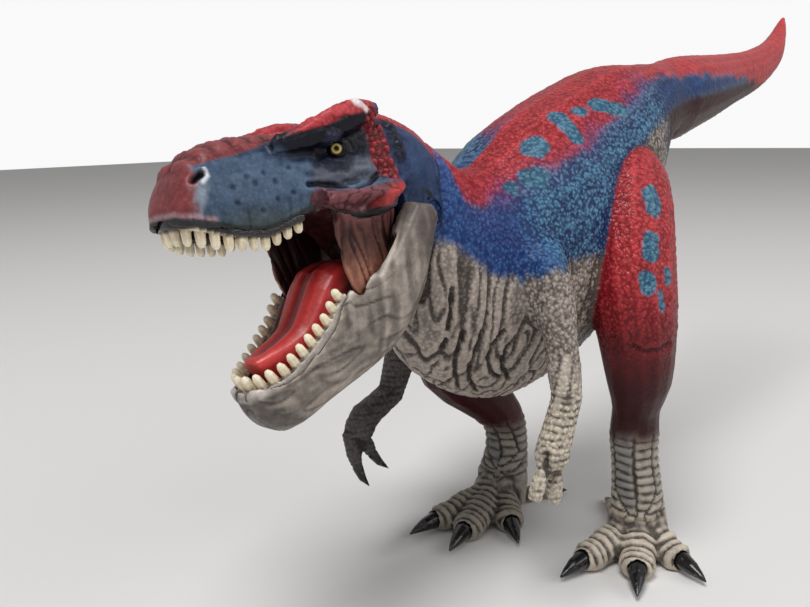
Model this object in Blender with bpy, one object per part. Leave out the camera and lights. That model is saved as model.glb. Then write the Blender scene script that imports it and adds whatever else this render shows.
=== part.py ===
"""Toy dinosaur figure: a striding two-legged meat eater with a lower jaw that opens and shuts.

The figure faces -Y, its left side is +X, and it stands on the floor at z = 0.
Every body form is a loft through sections. A section is given by its highest and lowest point
in the side view and by its half width, as shares of the named sizes of the piece.
"""

from math import copysign, cos, pi, radians, sin

import bmesh
import bpy
from mathutils import Matrix, Vector

MM = 0.001

# Fits
FIT_GAP = 0.3 * MM
CUT_OVERRUN = 2.0 * MM
# The most that a sharp edge of a grown copy stands out, as a multiple of the gap.
MITRE_LIMIT = 2.0

# Legs and feet
LEG_LENGTH = 108.0 * MM
LEG_WIDTH = 25.0 * MM
LEG_DEPTH = 37.0 * MM
STANCE = 24.0 * MM
HIP_PEG_RADIUS = 4.0 * MM
HIP_PEG_LENGTH = 5.0 * MM
TOE_REACH = 30.0 * MM
TOE_WIDTH = 9.5 * MM
TOE_HEIGHT = 10.5 * MM
SOLE_CUT = 0.6 * MM
TOE_CLAW_LENGTH = 8.5 * MM
TOE_CLAW_RADIUS = 2.4 * MM

# Trunk and neck
TRUNK_LENGTH = 110.0 * MM
TRUNK_DEPTH = 62.0 * MM
TRUNK_WIDTH = 45.0 * MM
BACK_RISE = 14.5 * MM

# Tail
TAIL_LENGTH = 129.0 * MM
TAIL_RISE = 36.0 * MM
TAIL_SWING = 15.0 * MM
TAIL_THICKNESS = 24.0 * MM
TAIL_PEG_RADIUS = 5.0 * MM
TAIL_PEG_LENGTH = 9.0 * MM

# Skull
SKULL_LENGTH = 44.5 * MM
SKULL_HEIGHT = 20.0 * MM
SKULL_WIDTH = 27.0 * MM
HEAD_LEAD = 4.95 * MM
LIP_WALL = 0.9 * MM
EYE_RADIUS = 2.0 * MM
HEAD_ROLL = 9.5
HEAD_TURN = 2.0

# Jaw
OVERBITE = 1.0 * MM
JAW_DEPTH = 17.0 * MM
JAW_WALL = 2.6 * MM
JAW_FLOOR = 4.2 * MM
JAW_SIDE_GAP = 0.5 * MM
JAW_OPENING = 33.0
JAW_STOP = 6.0
THROAT_RADIUS = 19.5 * MM
PLATE_SWING_RADIUS = 7.5 * MM
TONGUE_ROOT_RADIUS = 10.8 * MM
TONGUE_CLEARANCE = 0.7 * MM
HINGE_DROP = 4.0 * MM
JAW_PIN_RADIUS = 1.3 * MM
JAW_PIN_SEAT = 1.2 * MM

# Teeth
TOOTH_WIDTH = 1.9 * MM
UPPER_TOOTH_LENGTH = 2.8 * MM
LOWER_TOOTH_LENGTH = 2.8 * MM
TOOTH_DEPTH = 1.8 * MM
GUM_WIDTH = 2.1 * MM
GUM_COVER = 0.2 * MM
GUM_HEIGHT = 1.6 * MM
TEETH_PER_SIDE = 11

# Arms
UPPER_ARM_LENGTH = 28.5 * MM
FOREARM_LENGTH = 9.8 * MM
ARM_THICKNESS = 12.0 * MM
FINGER_LENGTH = 9.0 * MM
FINGER_THICKNESS = 4.0 * MM
FINGER_CLAW_LENGTH = 6.5 * MM
SHOULDER_PEG_RADIUS = 2.5 * MM
SHOULDER_PEG_LENGTH = 4.0 * MM

# Where the pieces meet the trunk
BACK_HEIGHT = LEG_LENGTH + BACK_RISE
NECK_FRONT_SHARE = -0.600
NECK_HEIGHT_SHARE = -0.476
TAIL_START_SHARE = 0.345
HEAD_Y = NECK_FRONT_SHARE * TRUNK_LENGTH - HEAD_LEAD
HEAD_Z = BACK_HEIGHT + NECK_HEIGHT_SHARE * TRUNK_DEPTH
JAW_LENGTH = SKULL_LENGTH - OVERBITE
# Half the width of the open throat between the jaw's plates.
THROAT_HALF_WIDTH_SHARE = 0.446
THROAT_HALF_WIDTH = THROAT_HALF_WIDTH_SHARE * SKULL_WIDTH

# Trunk sections, front to back: y and z of the top, y and z of the bottom, half width.
# The y shares are of the trunk's length from the feet, the z shares of its depth below the hips' top.
TRUNK_SHARES = (
    (-0.600, -0.250, -0.618, -0.718, 0.222),
    (-0.527, -0.269, -0.573, -0.960, 0.300),
    (-0.445, -0.362, -0.514, -1.097, 0.344),
    (-0.364, -0.369, -0.409, -1.210, 0.396),
    (-0.255, -0.234, -0.300, -1.266, 0.444),
    (-0.127, -0.132, -0.173, -1.234, 0.478),
    (0.000, -0.052, -0.018, -1.121, 0.473),
    (0.109, 0.005, 0.091, -0.911, 0.418),
    (0.236, 0.015, 0.227, -0.476, 0.318),
    (0.345, 0.035, 0.345, -0.355, 0.249),
)

# Tail sections: share of length, rise, swing, and half thickness up and to the side.
TAIL_SHARES = (
    (0.000, 0.000, 0.000, 0.504, 0.467),
    (0.129, 0.089, 0.033, 0.471, 0.438),
    (0.284, 0.161, 0.167, 0.417, 0.392),
    (0.440, 0.239, 0.333, 0.358, 0.333),
    (0.595, 0.322, 0.467, 0.312, 0.292),
    (0.726, 0.428, 0.600, 0.267, 0.250),
    (0.835, 0.553, 0.733, 0.212, 0.204),
    (0.916, 0.706, 0.867, 0.146, 0.142),
    (0.971, 0.853, 0.967, 0.088, 0.088),
    (1.000, 0.961, 1.020, 0.033, 0.033),
)

# Skull sections, rear to snout: y and z of the top, y and z of the bottom, half width.
# The y shares are of the skull's length forward of the head's origin, the z shares of its height above it.
SKULL_SHARES = (
    (-0.236, 0.775, -0.247, -0.475, 0.456),
    (-0.112, 0.870, -0.135, -0.500, 0.489),
    (0.022, 0.935, 0.000, -0.400, 0.500),
    (0.157, 0.905, 0.135, -0.150, 0.493),
    (0.315, 0.810, 0.315, -0.070, 0.448),
    (0.494, 0.710, 0.494, -0.060, 0.374),
    (0.674, 0.710, 0.674, -0.165, 0.330),
    (0.809, 0.650, 0.820, -0.115, 0.304),
    (0.910, 0.525, 0.939, -0.030, 0.267),
    (0.975, 0.340, 0.989, 0.020, 0.200),
    (1.000, 0.200, 1.004, 0.090, 0.107),
)

# Jaw sections when shut, rear to tip: y and z of the top, y and z of the bottom, and the half
# width as a share of the half width that clears the skull. Shares of jaw length and jaw depth.
JAW_SHARES = (
    (-0.078, 0.094, -0.060, -0.265, 0.952),
    (-0.011, 0.259, 0.046, -0.518, 0.988),
    (0.103, 0.182, 0.179, -0.765, 0.988),
    (0.202, 0.088, 0.322, -0.935, 0.952),
    (0.306, 0.012, 0.448, -0.994, 0.880),
    (0.414, 0.035, 0.563, -0.976, 0.759),
    (0.490, 0.053, 0.644, -0.929, 0.663),
    (0.598, -0.071, 0.724, -0.871, 0.602),
    (0.736, -0.129, 0.828, -0.812, 0.542),
    (0.851, -0.153, 0.915, -0.765, 0.476),
    (0.929, -0.118, 0.975, -0.700, 0.373),
    (0.979, -0.082, 1.007, -0.553, 0.241),
    (1.000, -0.118, 1.021, -0.371, 0.133),
)


def spline(values, place):
    """The smooth curve through rows of numbers, read at a place that counts rows."""
    last = len(values) - 1
    index = min(int(place), last - 1)
    part = place - index
    rows = [values[min(max(index + step, 0), last)] for step in (-1, 0, 1, 2)]
    found = []
    for before, start, end, after in zip(*rows):
        curve = 2 * start + (end - before) * part
        curve += (2 * before - 5 * start + 4 * end - after) * part**2
        curve += (3 * start - before - 3 * end + after) * part**3
        found.append(curve / 2)
    return found


def spline_rows(values, steps):
    """The rows of a table with smooth rows between them."""
    count = (len(values) - 1) * steps
    return [spline(values, index / steps) for index in range(count + 1)]


def outline(sides, top_power, low_power):
    """The corners of a rounded box two units wide and high: 2 is a circle, more is squarer."""
    corners = []
    for index in range(sides):
        angle = 2 * pi * index / sides
        power = top_power if sin(angle) > 0 else low_power
        across = copysign(abs(cos(angle)) ** (2 / power), cos(angle))
        height = copysign(abs(sin(angle)) ** (2 / power), sin(angle))
        corners.append((across, height))
    return corners


def skin(rings):
    """A closed mesh over rings of points, with a flat cap at each end."""
    work = bmesh.new()
    loops = [[work.verts.new(point) for point in ring] for ring in rings]
    sides = len(loops[0])
    for first, second in zip(loops, loops[1:]):
        for index in range(sides):
            after = (index + 1) % sides
            work.faces.new((first[index], first[after], second[after], second[index]))
    work.faces.new(loops[0])
    work.faces.new(loops[-1])
    bmesh.ops.recalc_face_normals(work, faces=work.faces)
    mesh = bpy.data.meshes.new("skin")
    work.to_mesh(mesh)
    work.free()
    return mesh


def profile_loft(rows, steps, sides, top_power=2.0, low_power=2.0, middle_share=0.5):
    """A loft through sections given by top point, bottom point and half width, across the midline."""
    rings = []
    for top_y, top_z, low_y, low_z, half in spline_rows(rows, steps):
        top = Vector((0, top_y, top_z))
        low = Vector((0, low_y, low_z))
        middle = low.lerp(top, middle_share)
        ring = []
        for across, height in outline(sides, top_power, low_power):
            reach = (top - middle) if height > 0 else (middle - low)
            ring.append(middle + reach * height + Vector((half * across, 0, 0)))
        rings.append(ring)
    return skin(rings)


def limb_loft(rows, steps, sides, front, power=2.0):
    """A loft along a path. A row is x, y, z, half width, reach to the front and reach to the back."""
    path = spline_rows(rows, steps)
    centres = [Vector(row[:3]) for row in path]
    rings = []
    for index, row in enumerate(path):
        before = centres[max(index - 1, 0)]
        after = centres[min(index + 1, len(path) - 1)]
        run = (after - before).normalized()
        fore = (front - front.dot(run) * run).normalized()
        wide = run.cross(fore)
        half, ahead, behind = row[3:]
        ring = []
        for across, height in outline(sides, power, power):
            reach = ahead if height > 0 else behind
            ring.append(centres[index] + wide * half * across + fore * reach * height)
        rings.append(ring)
    return skin(rings)


def primitive(shape, matrix):
    """A closed primitive mesh, made by one of the bmesh create functions and placed."""
    work = bmesh.new()
    shape(work)
    bmesh.ops.transform(work, matrix=matrix, verts=work.verts)
    bmesh.ops.recalc_face_normals(work, faces=work.faces)
    mesh = bpy.data.meshes.new("primitive")
    work.to_mesh(mesh)
    work.free()
    return mesh


def ball(centre, radii, segments=12, rings=8):
    def shape(work):
        bmesh.ops.create_uvsphere(work, u_segments=segments, v_segments=rings, radius=1)

    return primitive(shape, Matrix.Translation(centre) @ Matrix.Diagonal((*radii, 1)))


def rod(start, end, radius, segments=20, end_radius=None):
    """A cylinder, or a cone with an end radius, from one point to another."""
    axis = end - start
    turn = axis.to_track_quat("Z", "Y").to_matrix().to_4x4()
    end_radius = radius if end_radius is None else end_radius

    def shape(work):
        bmesh.ops.create_cone(
            work, cap_ends=True, segments=segments, radius1=radius, radius2=end_radius, depth=axis.length
        )

    return primitive(shape, Matrix.Translation((start + end) / 2) @ turn)


def box(low, high):
    size = high - low

    def shape(work):
        bmesh.ops.create_cube(work, size=1)

    return primitive(shape, Matrix.Translation((low + high) / 2) @ Matrix.Diagonal((*size, 1)))


def combined(base, others, operation):
    """The base mesh with the other meshes joined to it or cut from it."""
    stage = bpy.context.scene.collection
    holders = []
    for mesh in (base, *others):
        holder = bpy.data.objects.new("holder", mesh)
        stage.objects.link(holder)
        holders.append(holder)
    for other in holders[1:]:
        modifier = holders[0].modifiers.new("combine", "BOOLEAN")
        modifier.operation = operation
        modifier.object = other
    graph = bpy.context.evaluated_depsgraph_get()
    result = bpy.data.meshes.new_from_object(holders[0].evaluated_get(graph))
    for holder in holders:
        bpy.data.objects.remove(holder)
    return result


def joined(base, *others):
    return combined(base, others, "UNION")


def trimmed(base, *others):
    return combined(base, others, "DIFFERENCE")


def grown(mesh, gap):
    """A copy of a mesh whose surface lies outside the first by the gap."""
    work = bmesh.new()
    work.from_mesh(mesh)
    bmesh.ops.remove_doubles(work, verts=work.verts, dist=gap / 30)
    work.normal_update()
    places = [vert.co + vert.normal * gap * min(vert.calc_shell_factor(), MITRE_LIMIT) for vert in work.verts]
    for vert, place in zip(work.verts, places):
        vert.co = place
    copy = bpy.data.meshes.new("grown")
    work.to_mesh(copy)
    work.free()
    return copy


def material(name, colour, roughness, metallic=0.0):
    made = bpy.data.materials.new(name)
    made.use_nodes = True
    surface = made.node_tree.nodes["Principled BSDF"]
    surface.inputs["Base Color"].default_value = (*colour, 1)
    surface.inputs["Roughness"].default_value = roughness
    surface.inputs["Metallic"].default_value = metallic
    return made


class Figure:
    """The collections that hold the figure's pieces and its cutters, and the empties that carry them."""

    def __init__(self):
        for each in list(bpy.data.objects):
            bpy.data.objects.remove(each)
        self.pieces = self.collection("toy_dinosaur")
        self.cutters = self.collection("cutters")
        self.base = self.empty("figure_frame", (0, 0, 0))
        self.head = self.empty("head_frame", (0, HEAD_Y, HEAD_Z), self.base)
        self.head.rotation_euler = (0, radians(-HEAD_ROLL), radians(HEAD_TURN))
        self.hinge = self.empty("hinge_axis", (0, 0, -HINGE_DROP), self.head)
        self.jaw = self.empty("jaw_hinge", (0, 0, 0), self.hinge)
        self.jaw.rotation_euler = (radians(JAW_OPENING), 0, 0)
        self.stop = self.empty("jaw_stop", (0, 0, 0), self.hinge)
        self.stop.rotation_euler = (radians(JAW_STOP), 0, 0)
        self.made = []

    def collection(self, name):
        made = bpy.data.collections.new(name)
        bpy.context.scene.collection.children.link(made)
        return made

    def empty(self, name, place, parent=None):
        made = bpy.data.objects.new(name, None)
        made.location = place
        made.parent = parent
        self.cutters.objects.link(made)
        return made

    def piece(self, name, mesh, surface, parent=None):
        """Adds a named solid to the figure."""
        mesh.name = name
        mesh.materials.clear()
        mesh.materials.append(surface)
        mesh.shade_smooth()
        made = bpy.data.objects.new(name, mesh)
        made.parent = parent or self.base
        self.pieces.objects.link(made)
        self.made.append(made)
        return made

    def cut(self, piece, mesh, parent=None):
        """Cuts a mesh out of a piece and keeps the cutter beside it as a wire form."""
        cutter = bpy.data.objects.new(f"{piece.name}_cutter", mesh)
        cutter.parent = parent or self.base
        cutter.hide_render = True
        cutter.display_type = "WIRE"
        self.cutters.objects.link(cutter)
        modifier = piece.modifiers.new("cut", "BOOLEAN")
        modifier.operation = "DIFFERENCE"
        modifier.object = cutter

    def stand(self):
        """Moves the whole figure so that the middle of its box stands on the origin."""
        bpy.context.view_layer.update()
        graph = bpy.context.evaluated_depsgraph_get()
        points = []
        for piece in self.made:
            solid = piece.evaluated_get(graph)
            points += [solid.matrix_world @ vertex.co for vertex in solid.data.vertices]
        low, high = (Vector(pick(axis) for axis in zip(*points)) for pick in (min, max))
        self.base.location = (-(low.x + high.x) / 2, -(low.y + high.y) / 2, -low.z)
        bpy.context.view_layer.update()


def trunk_rows():
    rows = []
    for top_y, top_z, low_y, low_z, half in TRUNK_SHARES:
        rows.append(
            (
                top_y * TRUNK_LENGTH,
                BACK_HEIGHT + top_z * TRUNK_DEPTH,
                low_y * TRUNK_LENGTH,
                BACK_HEIGHT + low_z * TRUNK_DEPTH,
                half * TRUNK_WIDTH,
            )
        )
    return rows


def trunk_mesh():
    return profile_loft(trunk_rows(), steps=2, sides=24, top_power=2.35, low_power=1.85)


def tail_rows():
    """The tail starts with the trunk's last section, so that the two surfaces run on."""
    _, top, _, low, half = trunk_rows()[-1]
    start_y = TAIL_START_SHARE * TRUNK_LENGTH + FIT_GAP
    middle = (top + low) / 2
    rows = [(0, start_y, middle, half, top - middle, middle - low)]
    for along, rise, swing, up, side in TAIL_SHARES[1:]:
        rows.append(
            (
                -swing * TAIL_SWING,
                start_y + along * TAIL_LENGTH,
                middle + (rise - TAIL_SHARES[0][1]) * TAIL_RISE,
                side * TAIL_THICKNESS,
                up * TAIL_THICKNESS,
                up * TAIL_THICKNESS,
            )
        )
    return rows


def tail_mesh():
    rows = tail_rows()
    root = Vector(rows[0][:3])
    peg = rod(root - Vector((0, TAIL_PEG_LENGTH, 0)), root + Vector((0, CUT_OVERRUN, 0)), TAIL_PEG_RADIUS)
    return joined(limb_loft(rows, steps=2, sides=16, front=Vector((0, 0, 1))), peg)


# Leg sections, hip to sole: out, forward, height, half width, reach to the front and to the back.
# Shares of the stance, leg depth, leg length, leg width, leg depth and leg depth.
LEG_SHARES = {
    "left": (
        (0.667, -0.108, 0.926, 0.160, 0.135, 0.135),
        (0.729, -0.041, 0.889, 0.264, 0.270, 0.216),
        (0.825, 0.073, 0.815, 0.340, 0.324, 0.257),
        (0.908, 0.168, 0.713, 0.380, 0.338, 0.257),
        (1.012, 0.235, 0.611, 0.380, 0.311, 0.243),
        (1.075, 0.257, 0.519, 0.340, 0.257, 0.222),
        (1.062, 0.211, 0.435, 0.288, 0.216, 0.205),
        (0.992, 0.162, 0.366, 0.220, 0.162, 0.162),
        (0.958, 0.135, 0.306, 0.232, 0.170, 0.170),
        (0.950, 0.108, 0.245, 0.220, 0.162, 0.157),
        (0.971, 0.086, 0.162, 0.240, 0.176, 0.162),
        (0.958, 0.049, 0.093, 0.280, 0.197, 0.176),
        (0.917, -0.005, 0.028, 0.304, 0.205, 0.189),
    ),
    "right": (
        (0.667, -0.081, 0.926, 0.160, 0.135, 0.135),
        (0.750, 0.000, 0.889, 0.280, 0.270, 0.243),
        (0.854, 0.135, 0.806, 0.380, 0.338, 0.311),
        (0.938, 0.297, 0.694, 0.420, 0.351, 0.311),
        (1.000, 0.459, 0.583, 0.412, 0.324, 0.297),
        (1.021, 0.600, 0.491, 0.372, 0.284, 0.270),
        (0.979, 0.580, 0.407, 0.320, 0.243, 0.243),
        (0.875, 0.392, 0.338, 0.260, 0.203, 0.203),
        (0.771, 0.230, 0.282, 0.236, 0.178, 0.178),
        (0.725, 0.149, 0.227, 0.220, 0.162, 0.162),
        (0.708, 0.149, 0.157, 0.232, 0.170, 0.162),
        (0.708, 0.189, 0.093, 0.280, 0.197, 0.176),
        (0.708, 0.243, 0.028, 0.304, 0.211, 0.189),
    ),
}


def leg_rows(name, side):
    rows = []
    for out, fore, height, half, ahead, behind in LEG_SHARES[name]:
        rows.append(
            (
                side * out * STANCE,
                -fore * LEG_DEPTH,
                height * LEG_LENGTH,
                half * LEG_WIDTH,
                ahead * LEG_DEPTH,
                behind * LEG_DEPTH,
            )
        )
    return rows


# Toe sections: share of the length, height of the middle and half thickness in toe heights, half width.
TOE_SHARES = (
    (-0.12, 0.64, 0.56, 0.42),
    (0.14, 0.56, 0.54, 0.49),
    (0.34, 0.46, 0.44, 0.44),
    (0.54, 0.43, 0.44, 0.50),
    (0.72, 0.36, 0.36, 0.43),
    (0.88, 0.35, 0.37, 0.46),
    (1.00, 0.36, 0.26, 0.30),
)
# Toe claw sections: share of the claw's length, fall to the floor and thickness.
TOE_CLAW_SHARES = (
    (-0.35, 0.0, 0.75), (0.0, -0.1, 1.0), (0.4, 0.15, 0.78), (0.75, 0.6, 0.42), (1.0, 1.05, 0.1),
)
# The toes of each foot, inner or outer toe first, the hind toe last: heading in degrees from
# straight ahead, share of the toe's reach, and size.
TOE_HEADINGS = {"left": (-5, 30, 69, 232), "right": (-9, 16, 51, 156)}
TOE_REACH_SHARES = {"left": (1.03, 0.98, 0.83, 0.80), "right": (1.06, 1.07, 0.82, 0.76)}
TOE_SIZE_SHARES = (0.96, 1.0, 0.93, 0.54)


def toe_mesh(root, run, length, size_share):
    """A toe along the floor, and the place of its tip."""
    rows = []
    for along, middle, thick, half in TOE_SHARES:
        centre = root + run * along * length + Vector((0, 0, middle * TOE_HEIGHT * size_share))
        reach = thick * TOE_HEIGHT * size_share
        rows.append((*centre, half * TOE_WIDTH * size_share, reach, reach))
    return limb_loft(rows, steps=1, sides=10, front=Vector((0, 0, 1))), centre


def toe_claw_mesh(tip_place, run, size_share):
    """A bent claw from inside a toe's end down to the floor in front of it."""
    length = TOE_CLAW_LENGTH * size_share
    radius = TOE_CLAW_RADIUS * size_share
    drop = Vector((0, 0, tip_place.z - radius))
    rows = []
    for along, fall, thick in TOE_CLAW_SHARES:
        centre = tip_place + run * along * length - drop * fall
        rows.append((*centre, thick * radius, thick * radius, thick * radius))
    return limb_loft(rows, steps=1, sides=8, front=Vector((0, 0, 1)))


def foot_meshes(name, root):
    """The toes and the claws of one foot."""
    toes = []
    claws = []
    for heading, reach, size in zip(TOE_HEADINGS[name], TOE_REACH_SHARES[name], TOE_SIZE_SHARES):
        run = Vector((sin(radians(heading)), -cos(radians(heading)), 0))
        length = reach * TOE_REACH - size * TOE_CLAW_LENGTH
        toe, tip_place = toe_mesh(root, run, length, size)
        toes.append(toe)
        claws.append(toe_claw_mesh(tip_place, run, size))
    return toes, claws


def leg_meshes(name, side):
    """The leg with its foot and hip peg, and its claws. The side is 1 for left and -1 for right."""
    rows = leg_rows(name, side)
    leg = limb_loft(rows, steps=2, sides=14, front=Vector((0, -1, 0)), power=2.2)
    toes, claws = foot_meshes(name, Vector((rows[-1][0], rows[-1][1], 0)))
    hip = Vector(rows[2][:3])
    reach = Vector((side * (LEG_WIDTH / 2 + HIP_PEG_LENGTH), 0, 0))
    peg = rod(hip, hip - reach, HIP_PEG_RADIUS)
    leg = joined(leg, *toes, peg)
    ground = box(Vector((-1, -1, -1)) * LEG_LENGTH, Vector((LEG_LENGTH, LEG_LENGTH, SOLE_CUT)))
    return trimmed(leg, ground), [trimmed(claw, ground) for claw in claws]


def head_rows(shares, length, height, width):
    """Section rows in the frame of the head or of the jaw, from shares given forward and up."""
    rows = []
    for top_y, top_z, low_y, low_z, half in shares:
        rows.append((-top_y * length, top_z * height, -low_y * length, low_z * height, half * width))
    return rows


def skull_rows():
    return head_rows(SKULL_SHARES, SKULL_LENGTH, SKULL_HEIGHT, SKULL_WIDTH)


# Brow ridge and cheek bone paths: out, forward, up and thickness.
# Shares of skull width, skull length, skull height and skull height.
BROW_SHARES = (
    (0.29, 0.60, 0.57, 0.05),
    (0.36, 0.48, 0.62, 0.11),
    (0.42, 0.36, 0.72, 0.14),
    (0.43, 0.22, 0.82, 0.13),
    (0.38, 0.10, 0.86, 0.07),
)
CHEEK_BONE_SHARES = (
    (0.40, 0.44, 0.10, 0.08),
    (0.45, 0.30, 0.06, 0.15),
    (0.48, 0.16, 0.08, 0.17),
    (0.46, 0.04, 0.14, 0.10),
)


def ridge(shares, side):
    rows = []
    for out, forward, up, thick in shares:
        reach = thick * SKULL_HEIGHT
        centre = (side * out * SKULL_WIDTH, -forward * SKULL_LENGTH, up * SKULL_HEIGHT)
        rows.append(centre + (reach, reach, reach))
    return limb_loft(rows, steps=2, sides=8, front=Vector((0, 0, 1)))


def skull_mesh():
    """The skull with its brow ridges and cheek bones, before the mouth is cut."""
    skull = profile_loft(skull_rows(), steps=2, sides=20, top_power=2.5, low_power=4.5, middle_share=0.36)
    ridges = [ridge(shares, side) for shares in (BROW_SHARES, CHEEK_BONE_SHARES) for side in (1, -1)]
    return joined(skull, *ridges)


# The upper tooth row seen from above, rear to front: shares of the skull's width and length.
UPPER_ROW_SHARES = (
    (0.289, 0.506),
    (0.261, 0.607),
    (0.241, 0.719),
    (0.226, 0.820),
    (0.196, 0.899),
    (0.144, 0.944),
    (0.074, 0.966),
    (0.000, 0.971),
)


def tooth_row(shares, width, length):
    """The tooth row's path from the left rear round the front to the right rear, as x and y."""
    half = [(out * width, -forward * length) for out, forward in shares]
    return half + [(-x, y) for x, y in reversed(half[:-1])]


def along_path(points, share):
    """The point and the direction at a share of the length of a run of points."""
    runs = [(end - start).length for start, end in zip(points, points[1:])]
    left = share * sum(runs)
    for start, end, run in zip(points, points[1:], runs):
        if left <= run or end is points[-1]:
            return start.lerp(end, min(left / run, 1)), (end - start).normalized()
        left -= run


def gum_strip(path, height_at, up_reach, low_reach, gap=0.0):
    """A strip of gum that follows a tooth row, from below to above the height of the teeth's roots."""
    up = Vector((0, 0, 1))
    rings = []
    for index, point in enumerate(path):
        before = path[max(index - 1, 0)]
        after = path[min(index + 1, len(path) - 1)]
        side = up.cross(after - before).normalized() * (GUM_WIDTH / 2 + gap)
        base = point + up * height_at(point)
        rise = up * (up_reach + gap)
        fall = up * (low_reach + gap)
        rings.append([base + side + rise, base - side + rise, base - side - fall, base + side - fall])
    return skin(rings)


def flat_path(shares, width, length):
    return [Vector((x, y, 0)) for x, y in spline_rows(tooth_row(shares, width, length), 2)]


def gum_and_teeth(path, height_at, length, tooth_sign, count):
    """A gum strip that follows a path, with teeth of a length standing on it. The sign is 1 for up."""
    up = Vector((0, 0, 1))
    strip = gum_strip(path, height_at, GUM_HEIGHT / 2, GUM_HEIGHT / 2)
    teeth = []
    for index in range(count):
        place = (index + 0.5) / count
        point, run = along_path(path, place)
        base = point + up * height_at(point)
        rearness = abs(2 * place - 1)
        size = 1 - REAR_TOOTH_LOSS_SHARE * rearness**2
        teeth.append(tooth_mesh(base, run, up * tooth_sign, length * size))
    return joined(strip, *teeth)


# Tooth sections: share of the length, of the width and of the depth.
TOOTH_SHARES = ((0.0, 0.42, 0.46), (0.4, 0.50, 0.50), (0.8, 0.44, 0.44), (1.0, 0.22, 0.22))
# How much shorter the rearmost teeth are than the front ones.
REAR_TOOTH_LOSS_SHARE = 0.4


def tooth_mesh(base, run, up, length):
    """A blunt tooth that stands on a base point, wide along the row."""
    inward = run.cross(up)
    rings = []
    for along, wide, deep in TOOTH_SHARES:
        centre = base + up * along * (length + GUM_HEIGHT / 2)
        ring = []
        for across, depth in outline(6, 2.2, 2.2):
            ring.append(centre + run * across * wide * TOOTH_WIDTH + inward * depth * deep * TOOTH_DEPTH)
        rings.append(ring)
    return skin(rings)


# The height of the roof of the mouth above the hinge, as a share of the skull's height.
ROOF_SHARE = 0.27


def mouth_cutter():
    """The space inside the upper lips, from the roof of the mouth down."""
    rows = []
    for top_y, top_z, low_y, low_z, half in skull_rows()[2:-2]:
        rows.append((top_y, ROOF_SHARE * SKULL_HEIGHT, low_y, low_z - SKULL_HEIGHT / 2, half - LIP_WALL))
    return profile_loft(rows, steps=1, sides=14, top_power=4.5, low_power=4.5)


def plate_recess(side):
    """The flat round recess in the skull's side in which a plate of the jaw swings."""
    start = Vector((side * (THROAT_HALF_WIDTH - JAW_SIDE_GAP), 0, 0))
    return rod(start, start + Vector((side * SKULL_WIDTH / 2, 0, 0)), PLATE_SWING_RADIUS, segments=28)


# Mouth lining sections, front to rear: y of the top, y and z of the bottom, half width.
# Shares of the skull's length, length, height and width.
LINING_SHARES = (
    (0.895, 0.895, 0.020, 0.170),
    (0.780, 0.780, 0.010, 0.240),
    (0.600, 0.600, 0.000, 0.270),
    (0.430, 0.430, -0.020, 0.300),
    (0.280, 0.300, -0.120, 0.330),
    (0.170, 0.200, -0.300, 0.340),
    (0.090, 0.120, -0.540, 0.340),
    (0.000, 0.020, -0.690, 0.330),
)


def lining_mesh():
    """The roof of the mouth and the wall of the throat behind it."""
    rows = []
    for top_y, low_y, low_z, half in LINING_SHARES:
        top_z = ROOF_SHARE * SKULL_HEIGHT - FIT_GAP
        top_and_low = (-top_y * SKULL_LENGTH, top_z, -low_y * SKULL_LENGTH, low_z * SKULL_HEIGHT)
        rows.append(top_and_low + (half * SKULL_WIDTH,))
    return profile_loft(rows, steps=2, sides=12, top_power=4.0, low_power=3.0)


# Cheek muscle sections, top to bottom: out, forward, up, half width and reach fore and aft.
# Shares of skull width, length and height, then width and length.
CHEEK_SHARES = (
    (0.385, 0.240, 0.10, 0.040, 0.160),
    (0.385, 0.248, -0.20, 0.041, 0.158),
    (0.385, 0.246, -0.50, 0.041, 0.142),
    (0.380, 0.205, -0.72, 0.039, 0.122),
    (0.375, 0.145, -0.90, 0.033, 0.080),
)


def cheek_mesh(side):
    rows = []
    for out, forward, up, half, reach in CHEEK_SHARES:
        fore = reach * SKULL_LENGTH
        centre = (side * out * SKULL_WIDTH, -forward * SKULL_LENGTH, up * SKULL_HEIGHT)
        rows.append(centre + (half * SKULL_WIDTH, fore, fore))
    return limb_loft(rows, steps=2, sides=10, front=Vector((0, -1, 0)), power=3.0)


def jaw_rows():
    """The jaw's sections when shut. Its plates clear the widest part of the skull."""
    widest = SKULL_WIDTH / 2 + JAW_SIDE_GAP + JAW_WALL
    return head_rows(JAW_SHARES, JAW_LENGTH, JAW_DEPTH, widest)


def trough_mesh(gap=0.0):
    """The space inside the jaw, smaller all round by a gap."""
    rows = []
    for top_y, top_z, low_y, low_z, half in jaw_rows()[2:-2]:
        floor = low_z + JAW_FLOOR + gap
        rows.append((top_y, top_z + JAW_DEPTH / 2, low_y, floor, half - JAW_WALL - gap))
    return profile_loft(rows, steps=1, sides=16, top_power=4.0, low_power=2.6, middle_share=0.5)


def jaw_mesh():
    """The jaw as a trough with two rear plates, open between them round the throat.

    The plates' inner faces hold blind bores for the pin.
    """
    outer = profile_loft(jaw_rows(), steps=1, sides=22, top_power=7.0, low_power=2.3, middle_share=0.6)
    across = Vector((THROAT_HALF_WIDTH, 0, 0))
    throat = rod(-across, across, THROAT_RADIUS, segments=32)
    return trimmed(outer, joined(trough_mesh(), throat, pin_mesh(FIT_GAP)))


def pin_mesh(gap=0.0):
    """The jaw pin across the skull, seated in both plates."""
    half = SKULL_WIDTH / 2 + JAW_SIDE_GAP + JAW_PIN_SEAT + gap
    return rod(Vector((-half, 0, 0)), Vector((half, 0, 0)), JAW_PIN_RADIUS + gap)


# The lower tooth row seen from above, rear to front: shares of the skull's width and the jaw's length.
LOWER_ROW_SHARES = (
    (0.338, 0.469),
    (0.307, 0.609),
    (0.272, 0.736),
    (0.235, 0.839),
    (0.180, 0.904),
    (0.098, 0.943),
    (0.000, 0.955),
)


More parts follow.
